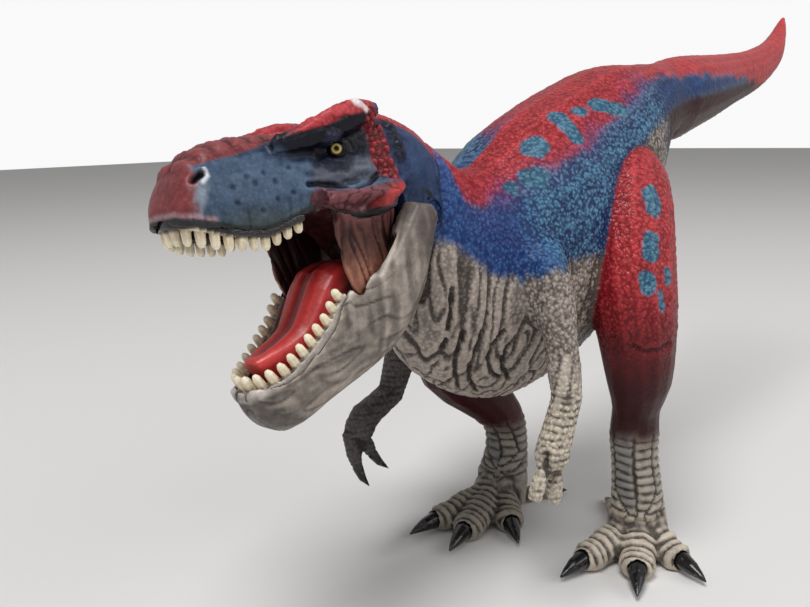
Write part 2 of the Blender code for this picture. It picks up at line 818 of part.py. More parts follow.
def edge_height(edge, place):
    """The height of an edge, given as pairs of y and z from rear to front, at a y place."""
    for first, second in zip(edge, edge[1:]):
        if first[0] >= place >= second[0]:
            return first[1] + (second[1] - first[1]) * (place - first[0]) / (second[0] - first[0])
    return edge[-1][1]


def lower_gum_height(point):
    """The middle of the lower gum, which lies sunk behind the jaw's rim."""
    rim = [row[0:2] for row in jaw_rows()]
    return edge_height(rim, point.y) - GUM_HEIGHT / 2 - GUM_COVER


def upper_gum_height(point):
    """The middle of the upper gum, which lies hidden behind the lip."""
    lip = [row[2:4] for row in skull_rows()]
    return edge_height(lip, point.y) + GUM_HEIGHT / 2 + GUM_COVER


def lower_teeth_mesh():
    path = flat_path(LOWER_ROW_SHARES, SKULL_WIDTH, JAW_LENGTH)
    return gum_and_teeth(path, lower_gum_height, LOWER_TOOTH_LENGTH, 1, 2 * TEETH_PER_SIDE)


def lower_teeth_channel():
    """The groove along the jaw's rim that takes the lower gum and its teeth."""
    path = flat_path(LOWER_ROW_SHARES, SKULL_WIDTH, JAW_LENGTH)
    return gum_strip(path, lower_gum_height, GUM_HEIGHT / 2 + LOWER_TOOTH_LENGTH, GUM_HEIGHT / 2, FIT_GAP)


def upper_teeth_mesh():
    path = flat_path(UPPER_ROW_SHARES, SKULL_WIDTH, SKULL_LENGTH)
    return gum_and_teeth(path, upper_gum_height, UPPER_TOOTH_LENGTH, -1, 2 * TEETH_PER_SIDE)


def upper_teeth_channel():
    """The groove in the upper lip and the roof of the mouth that takes the upper gum and its teeth."""
    path = flat_path(UPPER_ROW_SHARES, SKULL_WIDTH, SKULL_LENGTH)
    return gum_strip(path, upper_gum_height, GUM_HEIGHT / 2, GUM_HEIGHT / 2 + UPPER_TOOTH_LENGTH, FIT_GAP)


# Tongue sections, rear to tip: forward, top, underside and half width.
# Shares of jaw length, jaw depth, jaw depth and jaw depth.
TONGUE_SHARES = (
    (0.161, -0.100, -0.765, 0.285),
    (0.276, 0.135, -0.764, 0.365),
    (0.402, 0.255, -0.800, 0.385),
    (0.529, 0.141, -0.823, 0.365),
    (0.655, 0.010, -0.823, 0.305),
    (0.759, -0.005, -0.647, 0.222),
    (0.834, 0.000, -0.376, 0.135),
)


def tongue_loft(gap=0.0):
    """The tongue's full shape, larger all round by a gap."""
    rows = []
    for forward, top, low, half in TONGUE_SHARES:
        place = -forward * JAW_LENGTH
        rows.append((place, top * JAW_DEPTH + gap, place, low * JAW_DEPTH - gap, half * JAW_DEPTH + gap))
    return profile_loft(rows, steps=2, sides=12, top_power=2.4, low_power=2.4, middle_share=0.75)


def tongue_mesh():
    """The tongue, whose root ends in a round face that clears the throat as the jaw swings."""
    tongue = combined(tongue_loft(), [trough_mesh(FIT_GAP)], "INTERSECT")
    across = Vector((THROAT_HALF_WIDTH, 0, 0))
    return trimmed(tongue, rod(-across, across, TONGUE_ROOT_RADIUS, segments=24))


# The eye's place: out, forward and up, as shares of the skull's width, length and height.
EYE_SHARES = (0.400, 0.345, 0.50)


def eye_mesh(side):
    out, forward, up = EYE_SHARES
    place = Vector((side * out * SKULL_WIDTH, -forward * SKULL_LENGTH, up * SKULL_HEIGHT))
    return ball(place, (EYE_RADIUS, EYE_RADIUS, EYE_RADIUS))


# The shoulder's place: out, back and up from the hips' top, as shares of the trunk's width, length and depth.
SHOULDER_SHARES = {"left": (0.478, -0.345, -0.694), "right": (0.422, -0.341, -0.839)}
# The run of upper arm, forearm and palm: out, forward and up.
ARM_RUN_SHARES = {
    "left": ((0.16, 0.04, -0.98), (0.0, 0.42, -0.91), (0.0, 0.37, -0.93)),
    "right": ((0.10, 0.29, -0.95), (0.0, 0.92, -0.40), (0.0, 0.58, -0.81)),
}
# Sections of upper arm, forearm and palm: share of the length, and radius as a share of the arm's thickness.
ARM_BONE_SHARES = (
    ((0.0, 0.46), (0.4, 0.42), (0.75, 0.32), (1.0, 0.27)),
    ((0.0, 0.27), (0.5, 0.28), (1.0, 0.30)),
    ((0.0, 0.30), (0.6, 0.32), (1.0, 0.25)),
)
KNOB_SHARE = 1.03
PALM_SHARE = 0.6
# The run of each finger, front finger first, and its share of the finger's length.
FINGER_RUN_SHARES = {
    "left": ((0.0, 0.49, -0.87, 0.99), (0.0, -0.05, -1.0, 1.24)),
    "right": ((0.0, -0.26, -0.97, 1.14), (0.0, -0.51, -0.86, 1.0)),
}
FINGER_SPREAD_SHARE = 0.9
FINGER_SHARES = ((0.0, 0.42), (0.35, 0.44), (0.6, 0.5), (1.0, 0.38))
# Finger claw sections: share of the claw's length, and radius as a share of the finger's thickness.
FINGER_CLAW_SHARES = ((-0.3, 0.26), (0.0, 0.36), (0.5, 0.26), (1.0, 0.04))
FINGER_CLAW_BEND_SHARE = 0.3


def direction(run, side):
    """A unit direction from out, forward and up."""
    out, forward, up = run
    return Vector((side * out, -forward, up)).normalized()


def arm_joints(name, side):
    """The shoulder, the elbow, the wrist and the knuckles."""
    out, along, up = SHOULDER_SHARES[name]
    joints = [Vector((side * out * TRUNK_WIDTH, along * TRUNK_LENGTH, BACK_HEIGHT + up * TRUNK_DEPTH))]
    lengths = (UPPER_ARM_LENGTH, FOREARM_LENGTH, FINGER_LENGTH * PALM_SHARE)
    for run, length in zip(ARM_RUN_SHARES[name], lengths):
        joints.append(joints[-1] + direction(run, side) * length)
    return joints


def bone_mesh(shares, start, end, gap=0.0):
    """One straight stretch of the arm, with a round joint at its start."""
    rows = []
    for along, radius in shares:
        reach = radius * ARM_THICKNESS + gap
        rows.append((*start.lerp(end, along), reach, reach, reach))
    stretch = limb_loft(rows, steps=1, sides=12, front=Vector((1, 0, 0)))
    knob = shares[0][1] * ARM_THICKNESS * KNOB_SHARE + gap
    return joined(stretch, ball(start, (knob, knob, knob)))


def arm_root_mesh(joints, side, gap=0.0):
    """The upper arm with the peg that seats it in the trunk."""
    reach = Vector((-side * (ARM_THICKNESS / 2 + SHOULDER_PEG_LENGTH + gap), 0, 0))
    peg = rod(joints[0], joints[0] + reach, SHOULDER_PEG_RADIUS + gap)
    return joined(bone_mesh(ARM_BONE_SHARES[0], joints[0], joints[1], gap), peg)


def finger_mesh(start, end):
    rows = []
    for along, thick in FINGER_SHARES:
        reach = thick * FINGER_THICKNESS
        rows.append((*start.lerp(end, along), reach, reach, reach))
    return limb_loft(rows, steps=1, sides=8, front=Vector((1, 0, 0)))


def finger_claw_mesh(place, heading):
    """A thin claw that goes on from a finger's end and bends back."""
    rows = []
    for along, thick in FINGER_CLAW_SHARES:
        reach = thick * FINGER_THICKNESS
        back = Vector((0, FINGER_CLAW_BEND_SHARE * FINGER_CLAW_LENGTH * max(along, 0) ** 2, 0))
        rows.append((*(place + heading * along * FINGER_CLAW_LENGTH + back), reach, reach, reach))
    return limb_loft(rows, steps=1, sides=8, front=Vector((1, 0, 0)))


def arm_meshes(name, side):
    """The arm with its shoulder peg, its two finger claws, and the cutter of its seat in the trunk."""
    joints = arm_joints(name, side)
    forearm = bone_mesh(ARM_BONE_SHARES[1], joints[1], joints[2])
    palm = bone_mesh(ARM_BONE_SHARES[2], joints[2], joints[3])
    fingers = []
    claws = []
    for step, (*run, share) in zip((-0.5, 0.5), FINGER_RUN_SHARES[name]):
        heading = direction(run, side)
        apart = Vector((0, step * FINGER_THICKNESS * FINGER_SPREAD_SHARE, 0))
        start = joints[-1] + apart - heading * FINGER_THICKNESS / 2
        end = start + heading * FINGER_LENGTH * share
        fingers.append(finger_mesh(start, end))
        claws.append(finger_claw_mesh(end, heading))
    arm = joined(arm_root_mesh(joints, side), forearm, palm, *fingers)
    return arm, claws, arm_root_mesh(joints, side, FIT_GAP)


def add_head(figure, trunk, paint):
    """The skull and what is fixed to it, then the jaw with its teeth and tongue, and the pin."""
    skull = figure.piece("skull", skull_mesh(), paint["head"], figure.head)
    lining = figure.piece("mouth_lining", lining_mesh(), paint["mouth"], figure.head)
    figure.piece("upper_teeth", upper_teeth_mesh(), paint["ivory"], figure.head)
    figure.cut(skull, mouth_cutter(), figure.head)
    figure.cut(skull, grown(lining.data, FIT_GAP), figure.head)
    figure.cut(skull, grown(trunk.data, FIT_GAP))
    figure.cut(lining, tongue_loft(TONGUE_CLEARANCE), figure.stop)
    figure.cut(lining, upper_teeth_channel(), figure.head)
    figure.cut(skull, upper_teeth_channel(), figure.head)
    for name, side in (("left", 1), ("right", -1)):
        eye = figure.piece(f"eye_{name}", eye_mesh(side), paint["eye"], figure.head)
        figure.cut(skull, grown(eye.data, FIT_GAP), figure.head)
        cheek = figure.piece(f"cheek_{name}", cheek_mesh(side), paint["flesh"], figure.head)
        figure.cut(skull, grown(cheek.data, FIT_GAP), figure.head)
        figure.cut(skull, plate_recess(side), figure.hinge)
        figure.cut(lining, grown(cheek.data, FIT_GAP), figure.head)
        figure.cut(cheek, pin_mesh(FIT_GAP), figure.hinge)
    figure.piece("jaw_pin", pin_mesh(), paint["pin"], figure.hinge)
    figure.cut(skull, pin_mesh(FIT_GAP), figure.hinge)
    figure.cut(lining, pin_mesh(FIT_GAP), figure.hinge)
    jaw = figure.piece("lower_jaw", jaw_mesh(), paint["grey"], figure.jaw)
    figure.piece("lower_teeth", lower_teeth_mesh(), paint["ivory"], figure.jaw)
    figure.piece("tongue", tongue_mesh(), paint["tongue"], figure.jaw)
    figure.cut(jaw, lower_teeth_channel(), figure.jaw)


def add_claws(figure, holder, name, claws, paint):
    """Adds each claw as its own solid and cuts its seat in the limb that holds it."""
    for index, claw in enumerate(claws, start=1):
        figure.piece(f"{name}_{index}", claw, paint)
        figure.cut(holder, grown(claw, FIT_GAP))


def add_limbs(figure, trunk, paint):
    for name, side in (("left", 1), ("right", -1)):
        leg, toe_claws = leg_meshes(name, side)
        leg_piece = figure.piece(f"leg_{name}", leg, paint["red"])
        figure.cut(trunk, grown(leg, FIT_GAP))
        add_claws(figure, leg_piece, f"toe_claw_{name}", toe_claws, paint["claw"])
        arm, finger_claws, arm_seat = arm_meshes(name, side)
        arm_piece = figure.piece(f"arm_{name}", arm, paint["grey"])
        figure.cut(trunk, arm_seat)
        # The left hand's fingers are short and rounded, with no claws.
        if name == "right":
            add_claws(figure, arm_piece, "finger_claw_right", finger_claws, paint["claw"])


def paints():
    return {
        "red": material("painted_red_skin", (0.52, 0.03, 0.03), 0.5),
        "head": material("painted_blue_skin", (0.06, 0.10, 0.25), 0.5),
        "grey": material("painted_grey_skin", (0.30, 0.27, 0.25), 0.55),
        "flesh": material("painted_cheek_flesh", (0.22, 0.07, 0.06), 0.5),
        "mouth": material("dark_mouth", (0.08, 0.01, 0.02), 0.4),
        "tongue": material("red_tongue", (0.55, 0.03, 0.04), 0.3),
        "ivory": material("ivory_tooth", (0.75, 0.65, 0.48), 0.35),
        "eye": material("yellow_eye", (0.62, 0.48, 0.12), 0.15),
        "claw": material("gloss_black_claw", (0.01, 0.01, 0.012), 0.2),
        "pin": material("steel_pin", (0.6, 0.6, 0.62), 0.3, 1.0),
    }


def build():
    figure = Figure()
    paint = paints()
    trunk = figure.piece("trunk", trunk_mesh(), paint["red"])
    tail = figure.piece("tail", tail_mesh(), paint["red"])
    add_head(figure, trunk, paint)
    add_limbs(figure, trunk, paint)
    figure.cut(trunk, grown(tail.data, FIT_GAP))
    figure.stand()


build()
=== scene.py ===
# %% [markdown]
# # Dressing a toy dinosaur
# The figure is a soft plastic toy about 28 cm long. Its solids come ready made:
# trunk, tail, legs, arms, skull, jaw, teeth, tongue and claws. This lesson gives
# them their skin, their sculpted detail and their paint.
# The solids are loaded first, because each piece below is fitted to them.

# %% Load the solids
import math

import bmesh
import bpy
import numpy as np
from mathutils import Euler, Matrix, Vector
from mathutils.bvhtree import BVHTree


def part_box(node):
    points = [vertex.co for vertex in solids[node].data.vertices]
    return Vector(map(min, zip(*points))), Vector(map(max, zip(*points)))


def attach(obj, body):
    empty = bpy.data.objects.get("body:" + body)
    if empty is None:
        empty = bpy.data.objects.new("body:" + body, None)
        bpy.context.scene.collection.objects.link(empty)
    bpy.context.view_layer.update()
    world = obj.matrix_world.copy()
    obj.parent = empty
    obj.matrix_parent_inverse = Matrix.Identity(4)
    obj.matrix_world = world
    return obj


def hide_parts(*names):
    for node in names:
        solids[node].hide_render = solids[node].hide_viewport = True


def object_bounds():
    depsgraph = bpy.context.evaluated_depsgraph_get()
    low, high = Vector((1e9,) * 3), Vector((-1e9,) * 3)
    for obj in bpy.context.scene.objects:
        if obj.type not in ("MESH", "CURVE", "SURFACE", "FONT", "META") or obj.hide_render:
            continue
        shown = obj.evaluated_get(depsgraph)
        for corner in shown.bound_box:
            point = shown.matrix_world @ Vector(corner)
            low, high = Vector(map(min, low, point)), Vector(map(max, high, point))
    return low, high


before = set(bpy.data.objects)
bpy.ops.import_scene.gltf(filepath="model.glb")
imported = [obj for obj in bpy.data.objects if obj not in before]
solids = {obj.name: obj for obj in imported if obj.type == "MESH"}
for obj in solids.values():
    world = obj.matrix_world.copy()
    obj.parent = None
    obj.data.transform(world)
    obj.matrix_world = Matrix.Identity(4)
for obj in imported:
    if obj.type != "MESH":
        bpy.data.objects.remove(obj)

solid_box = [list(corner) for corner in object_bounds()]
bpy.ops.object.select_all(action="DESELECT")
print("solids:", len(solids), "box in mm:", [[round(v * 1000, 1) for v in c] for c in solid_box])

# %% [markdown]
# ## Two ways to make skin
# Skin like this could be sculpted by hand with a brush. Here the brush is written
# down, so that the same stroke can be made again: a stroke is a line of points, and
# it lifts or paints all that lies near it.
# The clay for it is a copy of the solids, joined into one closed surface with the
# Remesh modifier, which gives small even faces all over. The copy is swollen a
# little before that and shrunk after, so that the glue gaps close.

# %% Helpers that make a closed skin
MM = 0.001
COARSER = 1


def use(piece):
    """Makes one piece the selected and active one."""
    bpy.ops.object.select_all(action="DESELECT")
    piece.select_set(True)
    bpy.context.view_layer.objects.active = piece


def apply(piece, kind, **settings):
    """Adds a modifier, sets it and applies it."""
    use(piece)
    modifier = piece.modifiers.new(kind.title(), kind)
    for key, value in settings.items():
        setattr(modifier, key, value)
    bpy.ops.object.modifier_apply(modifier=modifier.name)


def copy_of(name, nodes):
    """One new mesh with the faces of these solids, its loose triangles joined up."""
    mesh = bpy.data.meshes.new(name)
    work = bmesh.new()
    for node_name in nodes:
        work.from_mesh(solids[node_name].data)
    bmesh.ops.remove_doubles(work, verts=work.verts, dist=1e-6)
    work.to_mesh(mesh)
    work.free()
    piece = bpy.data.objects.new(name, mesh)
    bpy.context.scene.collection.objects.link(piece)
    return piece


def drop_crumbs(piece):
    """Keeps the biggest connected body and removes what lies loose inside it."""
    name = piece.name
    use(piece)
    bpy.ops.object.mode_set(mode="EDIT")
    bpy.ops.mesh.select_all(action="SELECT")
    bpy.ops.mesh.separate(type="LOOSE")
    bpy.ops.object.mode_set(mode="OBJECT")
    bodies = sorted(bpy.context.selected_objects, key=lambda o: -len(o.data.vertices))
    for crumb in bodies[1:]:
        bpy.data.objects.remove(crumb)
    bodies[0].name = name
    return bodies[0]


def clay_of(name, nodes, grain, swell=0.25, soften=6):
    """A closed skin round these solids, of faces about one grain wide."""
    piece = copy_of(name, nodes)
    if swell:
        apply(piece, "DISPLACE", strength=swell * MM, mid_level=0)
    apply(piece, "REMESH", mode="VOXEL", voxel_size=grain * MM * COARSER)
    if swell:
        apply(piece, "DISPLACE", strength=-swell * MM, mid_level=0)
    apply(piece, "SMOOTH", factor=0.5, iterations=soften)
    piece = drop_crumbs(piece)
    print(name, "has", len(piece.data.polygons), "faces")
    return piece


# %% [markdown]
# ## Noise, pebbles and folds
# Nothing on a toy is quite even. Three patterns are enough for this one: a soft
# cloud noise, round pebbles from the distance to the nearest of many scattered
# seeds, and folds, which are sharp valleys where a noise crosses zero.

# %% Noise and pebbles
def scatter(cell, salt):
    """A fixed pseudo-random number from 0 to 1 for each whole-number cell."""
    cell = cell.astype(np.int64)
    mixed = cell[:, 0] * 73856093 ^ cell[:, 1] * 19349663 ^ cell[:, 2] * 83492791 ^ salt * 2654435761
    mixed = (mixed ^ (mixed >> 13)) * 1274126177 & 0x7FFFFFFF
    return ((mixed ^ (mixed >> 11)) & 0xFFFFF) / float(0xFFFFF)


def cloud(where, size, salt=0):
    """Smooth noise from -1 to 1 with lumps of this size."""
    scaled = where / size
    low = np.floor(scaled)
    part = scaled - low
    part = part * part * (3 - 2 * part)
    total = np.zeros(len(where))
    for corner in range(8):
        step = np.array([corner & 1, corner >> 1 & 1, corner >> 2 & 1])
        weight = np.prod(np.where(step, part, 1 - part), axis=1)
        total += weight * scatter(low + step, salt)
    return total * 2 - 1


def pebbles(where, size, salt=0):
    """1 at the top of each pebble and 0 in the valley between two."""
    scaled = where / size
    low = np.floor(scaled)
    first = np.full(len(where), 9.0)
    second = first.copy()
    for i in (-1, 0, 1):
        for j in (-1, 0, 1):
            for k in (-1, 0, 1):
                cell = low + (i, j, k)
                seed = cell + np.stack([scatter(cell, salt + n) for n in range(3)], 1)
                gap = np.linalg.norm(scaled - seed, axis=1)
                second = np.where(gap < first, first, np.minimum(second, gap))
                first = np.minimum(first, gap)
    return np.clip((second - first) * 1.8, 0, 1)


# %% Folds, slopes and outlines
def folds(where, size, salt=0, sharp=4):
    """0 in the valley of each fold and 1 away from it."""
    return np.clip(np.abs(cloud(where, size, salt)) * sharp, 0, 1)


def crease_gap(where, squeeze, size, salt):
    """Roughly how many millimetres each point is from the nearest long crease."""
    reach, flattest = 0.2, 0.03
    value = cloud(where * squeeze, size, salt)
    slope = [cloud((where + step) * squeeze, size, salt) - value for step in reach * np.eye(3)]
    return reach * np.abs(value) / np.maximum(np.linalg.norm(slope, axis=0), flattest)


def rise_over(value, low, high):
    """0 below low, 1 above high and a soft slope between."""
    t = np.clip((value - low) / (high - low), 0, 1)
    return t * t * (3 - 2 * t)


def outline(place, corners):
    """Height of a drawn outline at each place. Its corners are (place, height) pairs."""
    return np.interp(place, *zip(*corners))


# %% [markdown]
# ## A brush for shape and paint
# A clay object holds, for each point of a skin, its place, how far it is lifted, and
# two colours: the paint in the valleys, and the dry-brushed paint on the tops. Real
# toys are painted just so, with a dark wash first and a nearly dry brush after.

# %% Helpers of the brush
def tone(red, green, blue):
    """A colour as a paint chart gives it, turned into light values."""
    chart = np.array([red, green, blue]) / 255
    return np.where(chart <= 0.04045, chart / 12.92, ((chart + 0.055) / 1.055) ** 2.4)


def away_from(where, line):
    """Distance of each point from a line of points."""
    line = np.array(line, float)
    best = np.full(len(where), 1e9)
    if len(line) == 1:
        return np.linalg.norm(where - line[0], axis=1)
    for start, end in zip(line[:-1], line[1:]):
        run = end - start
        share = np.clip((where - start) @ run / max(run @ run, 1e-9), 0, 1)
        best = np.minimum(best, np.linalg.norm(where - start - share[:, None] * run, axis=1))
    return best


def soften(mesh, places, rounds, mask=1.0):
    """Moves each point toward the mean of its neighbours, over and over."""
    ends = np.empty(len(mesh.edges) * 2, np.int64)
    mesh.edges.foreach_get("vertices", ends)
    one, other = ends.reshape(-1, 2).T
    count = len(places)
    links = np.bincount(one, minlength=count) + np.bincount(other, minlength=count)
    soft = places.copy()
    for _ in range(rounds):
        mean = np.stack([
            np.bincount(one, soft[other, i], count) + np.bincount(other, soft[one, i], count)
            for i in range(3)
        ], 1)
        soft += (mean / links[:, None] - soft) * mask
    return soft


# %% The clay
class Clay:
    def __init__(self, piece, local):
        self.piece = piece
        mesh = piece.data
        count = len(mesh.vertices)
        flat = np.empty(count * 3)
        mesh.vertices.foreach_get("co", flat)
        self.world = flat.reshape(-1, 3) / MM
        flat = np.empty(count * 3)
        mesh.vertices.foreach_get("normal", flat)
        self.normal = flat.reshape(-1, 3)
        self.local = local(self.world)
        self.rise = np.zeros(count)
        self.shift = np.zeros((count, 3))
        self.valley = np.zeros((count, 3))
        self.top = np.zeros((count, 3))
        self.grain = np.ones(count)
        self.shine = np.zeros(count)

    def near(self, line, reach, edge=1.0):
        """1 on the line, 0 further off than reach. Edge is the soft share of it."""
        gap = away_from(self.local, line)
        return 1 - rise_over(gap, reach * (1 - edge), reach)

    def smooth(self, mask, rounds):
        """Rubs the clay smooth where the mask is."""
        rubbed = soften(self.piece.data, self.world + self.shift, rounds, mask[:, None])
        self.shift += rubbed - self.world - self.shift

    def lift(self, mask, height):
        """Raises the clay by this many millimetres where the mask is 1."""
        self.rise += mask * height

    def coat(self, valley, top):
        """Paints all of it in one pair of colours."""
        self.valley[:] = tone(*valley)
        self.top[:] = tone(*top)

    def paint(self, mask, valley, top, strength=1.0):
        """Lays a pair of colours over the last, as far as the mask lets it."""
        mask = np.clip(mask * strength, 0, 1)[:, None]
        self.valley += (tone(*valley) - self.valley) * mask
        self.top += (tone(*top) - self.top) * mask

    def finish(self):
        """Moves the points, keeps them in the solids' box and stores the paint."""
        mesh = self.piece.data
        moved = self.world + self.shift + self.normal * self.rise[:, None]
        near, wide = (((moved - soften(mesh, moved, rounds)) * self.normal).sum(1) for rounds in (5, 24))
        ridges = np.clip(near / 0.09, -1.4, 1.4) + np.clip(wide / 0.6, -0.6, 1)
        catch = np.clip(0.5 + 0.35 * ridges, 0.08, 1)
        moved = np.clip(moved * MM, solid_box[0], solid_box[1])
        mesh.vertices.foreach_set("co", moved.ravel())
        for name, values in (("valley", self.valley), ("top", self.top)):
            layer = mesh.attributes.new(name, "FLOAT_COLOR", "POINT")
            layer.data.foreach_set("color", np.column_stack([values, np.ones(len(values))]).ravel())
        for name, values in (("grain", self.grain), ("shine", self.shine), ("catch", catch)):
            mesh.attributes.new(name, "FLOAT", "POINT").data.foreach_set("value", values)
        mesh.update()
        use(self.piece)
        bpy.ops.object.shade_smooth()
        print(self.piece.name, "lifted by", round(self.rise.min(), 2), "to", round(self.rise.max(), 2), "mm")


# %% [markdown]
# ## Painted plastic
# One recipe serves every skin. It mixes the valley and top colours by the height of
# fine pebbles, so that the dry-brushed paint sits on the pebbles, and it raises the
# same pebbles with a bump. A faint cloud of noise keeps the paint from being even.
# The grain of a skin says where it is pebbled and where it is only mottled, and its
# catch says which edges and ridges the dry brush has caught.

# %% Shader helpers
def node(tree, kind, **inputs):
    """A shader node with these inputs: a number sets one, a socket links it."""
    made = tree.nodes.new(kind)
    for key, value in inputs.items():
        socket = made.inputs[int(key[1:])] if key[0] == "_" else made.inputs[key.replace("_", " ")]
        fill(tree, socket, value)
    return made


def fill(tree, socket, value):
    """Links a socket to another, or sets it to a value."""
    if isinstance(value, bpy.types.NodeSocket):
        tree.links.new(value, socket)
    else:
        socket.default_value = value


def math_node(tree, operation, *values):
    made = tree.nodes.new("ShaderNodeMath")
    made.operation = operation
    for socket, value in zip(made.inputs, values):
        fill(tree, socket, value)
    return made.outputs[0]


def weighed_sum(tree, *terms):
    """Adds sockets up, each times its weight."""
    total = 0.0
    for weight, socket in terms:
        total = math_node(tree, "MULTIPLY_ADD", socket, weight, total)
    return total


def noise(tree, place, scale, detail, roughness=0.5):
    made = node(tree, "ShaderNodeTexNoise", Vector=place, Scale=scale, Detail=detail, Roughness=roughness)
    return made.outputs["Fac"]


def spread(tree, value, low=0.0, high=1.0, start=0.0, end=1.0):
    """Stretches the span from low to high onto the span from start to end."""
    ends = {"From_Min": low, "From_Max": high, "To_Min": start, "To_Max": end}
    return node(tree, "ShaderNodeMapRange", Value=value, **ends).outputs[0]


def mix_colour(tree, share, first, second, blend="MIX"):
    made = tree.nodes.new("ShaderNodeMix")
    made.data_type = "RGBA"
    made.blend_type = blend
    for socket, value in ((made.inputs[0], share), (made.inputs[6], first), (made.inputs[7], second)):
        fill(tree, socket, value)
    return made.outputs[2]


def attribute(tree, name, output="Fac"):
    made = tree.nodes.new("ShaderNodeAttribute")
    made.attribute_name = name
    return made.outputs[output]


def new_material(name):
    material = bpy.data.materials.new(name)
    material.use_nodes = True
    tree = material.node_tree
    shader = tree.nodes["Principled BSDF"]
    return material, tree, shader


# %% The painted skin material
def bent_cells(tree, place, pebble):
    """Distance to the middle of the nearest pebble, with the pebbles a little bent."""
    per_metre = 1 / (pebble * MM)
    drift = node(tree, "ShaderNodeTexNoise", Vector=place, Scale=0.7 * per_metre, Detail=1.0)
    drift = node(tree, "ShaderNodeVectorMath", _0=drift.outputs["Color"], _1=(0.5, 0.5, 0.5))
    drift.operation = "SUBTRACT"
    bent = node(tree, "ShaderNodeVectorMath", _0=drift.outputs[0], _1=(0.9 * pebble * MM,) * 3, _2=place)
    bent.operation = "MULTIPLY_ADD"
    cells = node(tree, "ShaderNodeTexVoronoi", Vector=bent.outputs[0], Scale=per_metre, Randomness=0.9)
    return cells.outputs["Distance"]


def painted_skin(name, pebble, depth, roughness, gloss=0.22):
    """Valley and top paint on pebbles of this width and depth in millimetres."""
    material, tree, shader = new_material(name)
    place = tree.nodes.new("ShaderNodeTexCoord").outputs["Object"]
    fine = noise(tree, place, 2.6 / (pebble * MM), 3.0)
    broad = noise(tree, place, 160.0, 4.0, 0.6)
    blotch = noise(tree, place, 430.0, 6.0, 0.68)
    dome = math_node(tree, "SUBTRACT", 1.0, bent_cells(tree, place, pebble))
    dome = math_node(tree, "POWER", math_node(tree, "MAXIMUM", dome, 0.0), 1.6)

    grain = attribute(tree, "grain")
    pebbled = spread(tree, weighed_sum(tree, (1.35, dome), (0.5, fine), (0.6, broad)), 0.75, 1.65)
    mottled = spread(tree, blotch, 0.34, 0.68, 0.12, 0.88)
    plain = math_node(tree, "SUBTRACT", 1.0, grain)
    caught = math_node(tree, "SUBTRACT", attribute(tree, "catch"), 0.5)
    share = weighed_sum(tree, (grain, pebbled), (plain, mottled), (1.0, caught))
    share = node(tree, "ShaderNodeClamp", Value=share).outputs[0]
    colour = mix_colour(tree, share, attribute(tree, "valley", "Color"), attribute(tree, "top", "Color"))
    shade = tree.nodes.new("ShaderNodeCombineColor")
    uneven = spread(tree, broad, start=0.8, end=1.18)
    for socket in shade.inputs[:3]:
        tree.links.new(uneven, socket)
    colour = mix_colour(tree, 1.0, colour, shade.outputs[0], "MULTIPLY")
    tree.links.new(colour, shader.inputs["Base Color"])

    height = weighed_sum(tree, (grain, dome), (0.16, fine))
    bump = node(tree, "ShaderNodeBump", Height=height, Strength=0.75, Distance=depth * MM)
    tree.links.new(bump.outputs[0], shader.inputs["Normal"])
    rough = spread(tree, fine, start=roughness - 0.1, end=roughness + 0.12)
    rough = weighed_sum(tree, (1.0, rough), (-0.3, attribute(tree, "shine")))
    tree.links.new(rough, shader.inputs["Roughness"])
    shader.inputs["Specular IOR Level"].default_value = gloss
    return material


body_paint = painted_skin("painted_body", pebble=0.9, depth=0.34, roughness=0.42)
head_paint = painted_skin("painted_head", pebble=0.8, depth=0.14, roughness=0.4)
jaw_paint = painted_skin("painted_jaw", pebble=0.7, depth=0.08, roughness=0.42)
tooth_paint = painted_skin("painted_teeth", pebble=0.5, depth=0.03, roughness=0.32, gloss=0.6)
tongue_paint = painted_skin("painted_tongue", pebble=0.9, depth=0.08, roughness=0.36, gloss=0.6)
print("skin materials made")

# %% [markdown]
# ## Where things are
# The trunk and tail follow a bent spine, and each leg a bent bone. So that a line of
# paint can be given by how far it is up or round the body, the middle of each is
# read from the solids. The head is turned and rolled, so its strokes are given in
# its own frame, and they are made on both sides at once.

# %% Middles and frames
HEAD_AT = (-5.544, -97.03, 92.39)
HEAD_ROLL, HEAD_YAW = math.radians(-9.5), math.radians(2)
PIN_BELOW_HEAD = 4
GAPE = math.radians(33)


def middle_line(nodes, axis, step=6.0):
    """The middle of these solids' box at each height or length along an axis."""
    points = np.concatenate([[v.co / MM for v in solids[n].data.vertices] for n in nodes]).astype(float)
    keys, middles = [], []
    for key in np.arange(points[:, axis].min(), points[:, axis].max() + step, step):
        ring = points[abs(points[:, axis] - key) < step]
        if len(ring) > 5:
            keys.append(key)
            middles.append((ring.min(0) + ring.max(0)) / 2)
    middles = np.array(middles)
    return lambda t: np.stack([np.interp(t, keys, middles[:, i]) for i in range(3)], 1)


def in_frame(matrix):
    """Reads places in a turned frame, with both sides folded onto the left one."""
    back = np.array(matrix.inverted())

    def local(world):
        turned = world @ back[:3, :3].T + back[:3, 3]
        turned[:, 0] = abs(turned[:, 0])
        return turned

    return local


spine = middle_line(["trunk", "tail"], 1)
bone = {side: middle_line(["leg_" + side], 2) for side in ("left", "right")}
HEAD = Matrix.Translation(HEAD_AT) @ Euler((0, HEAD_ROLL, HEAD_YAW)).to_matrix().to_4x4()
JAW = HEAD @ Matrix.Translation((0, 0, -PIN_BELOW_HEAD)) @ Matrix.Rotation(GAPE, 4, "X")
HEAD_TURN, JAW_TURN = np.array(HEAD.to_3x3()), np.array(JAW.to_3x3())
print("spine at the hips:", spine(np.array([-25.0])).round(1)[0].tolist())

# %% [markdown]
# ## Body skin
# Trunk, tail, legs and arms are separate mouldings that the maker glues together, and
# their joints hardly show under the paint. One skin is made over all of them, sculpted
# and painted as a whole, and cut apart again along the glue lines at the end.

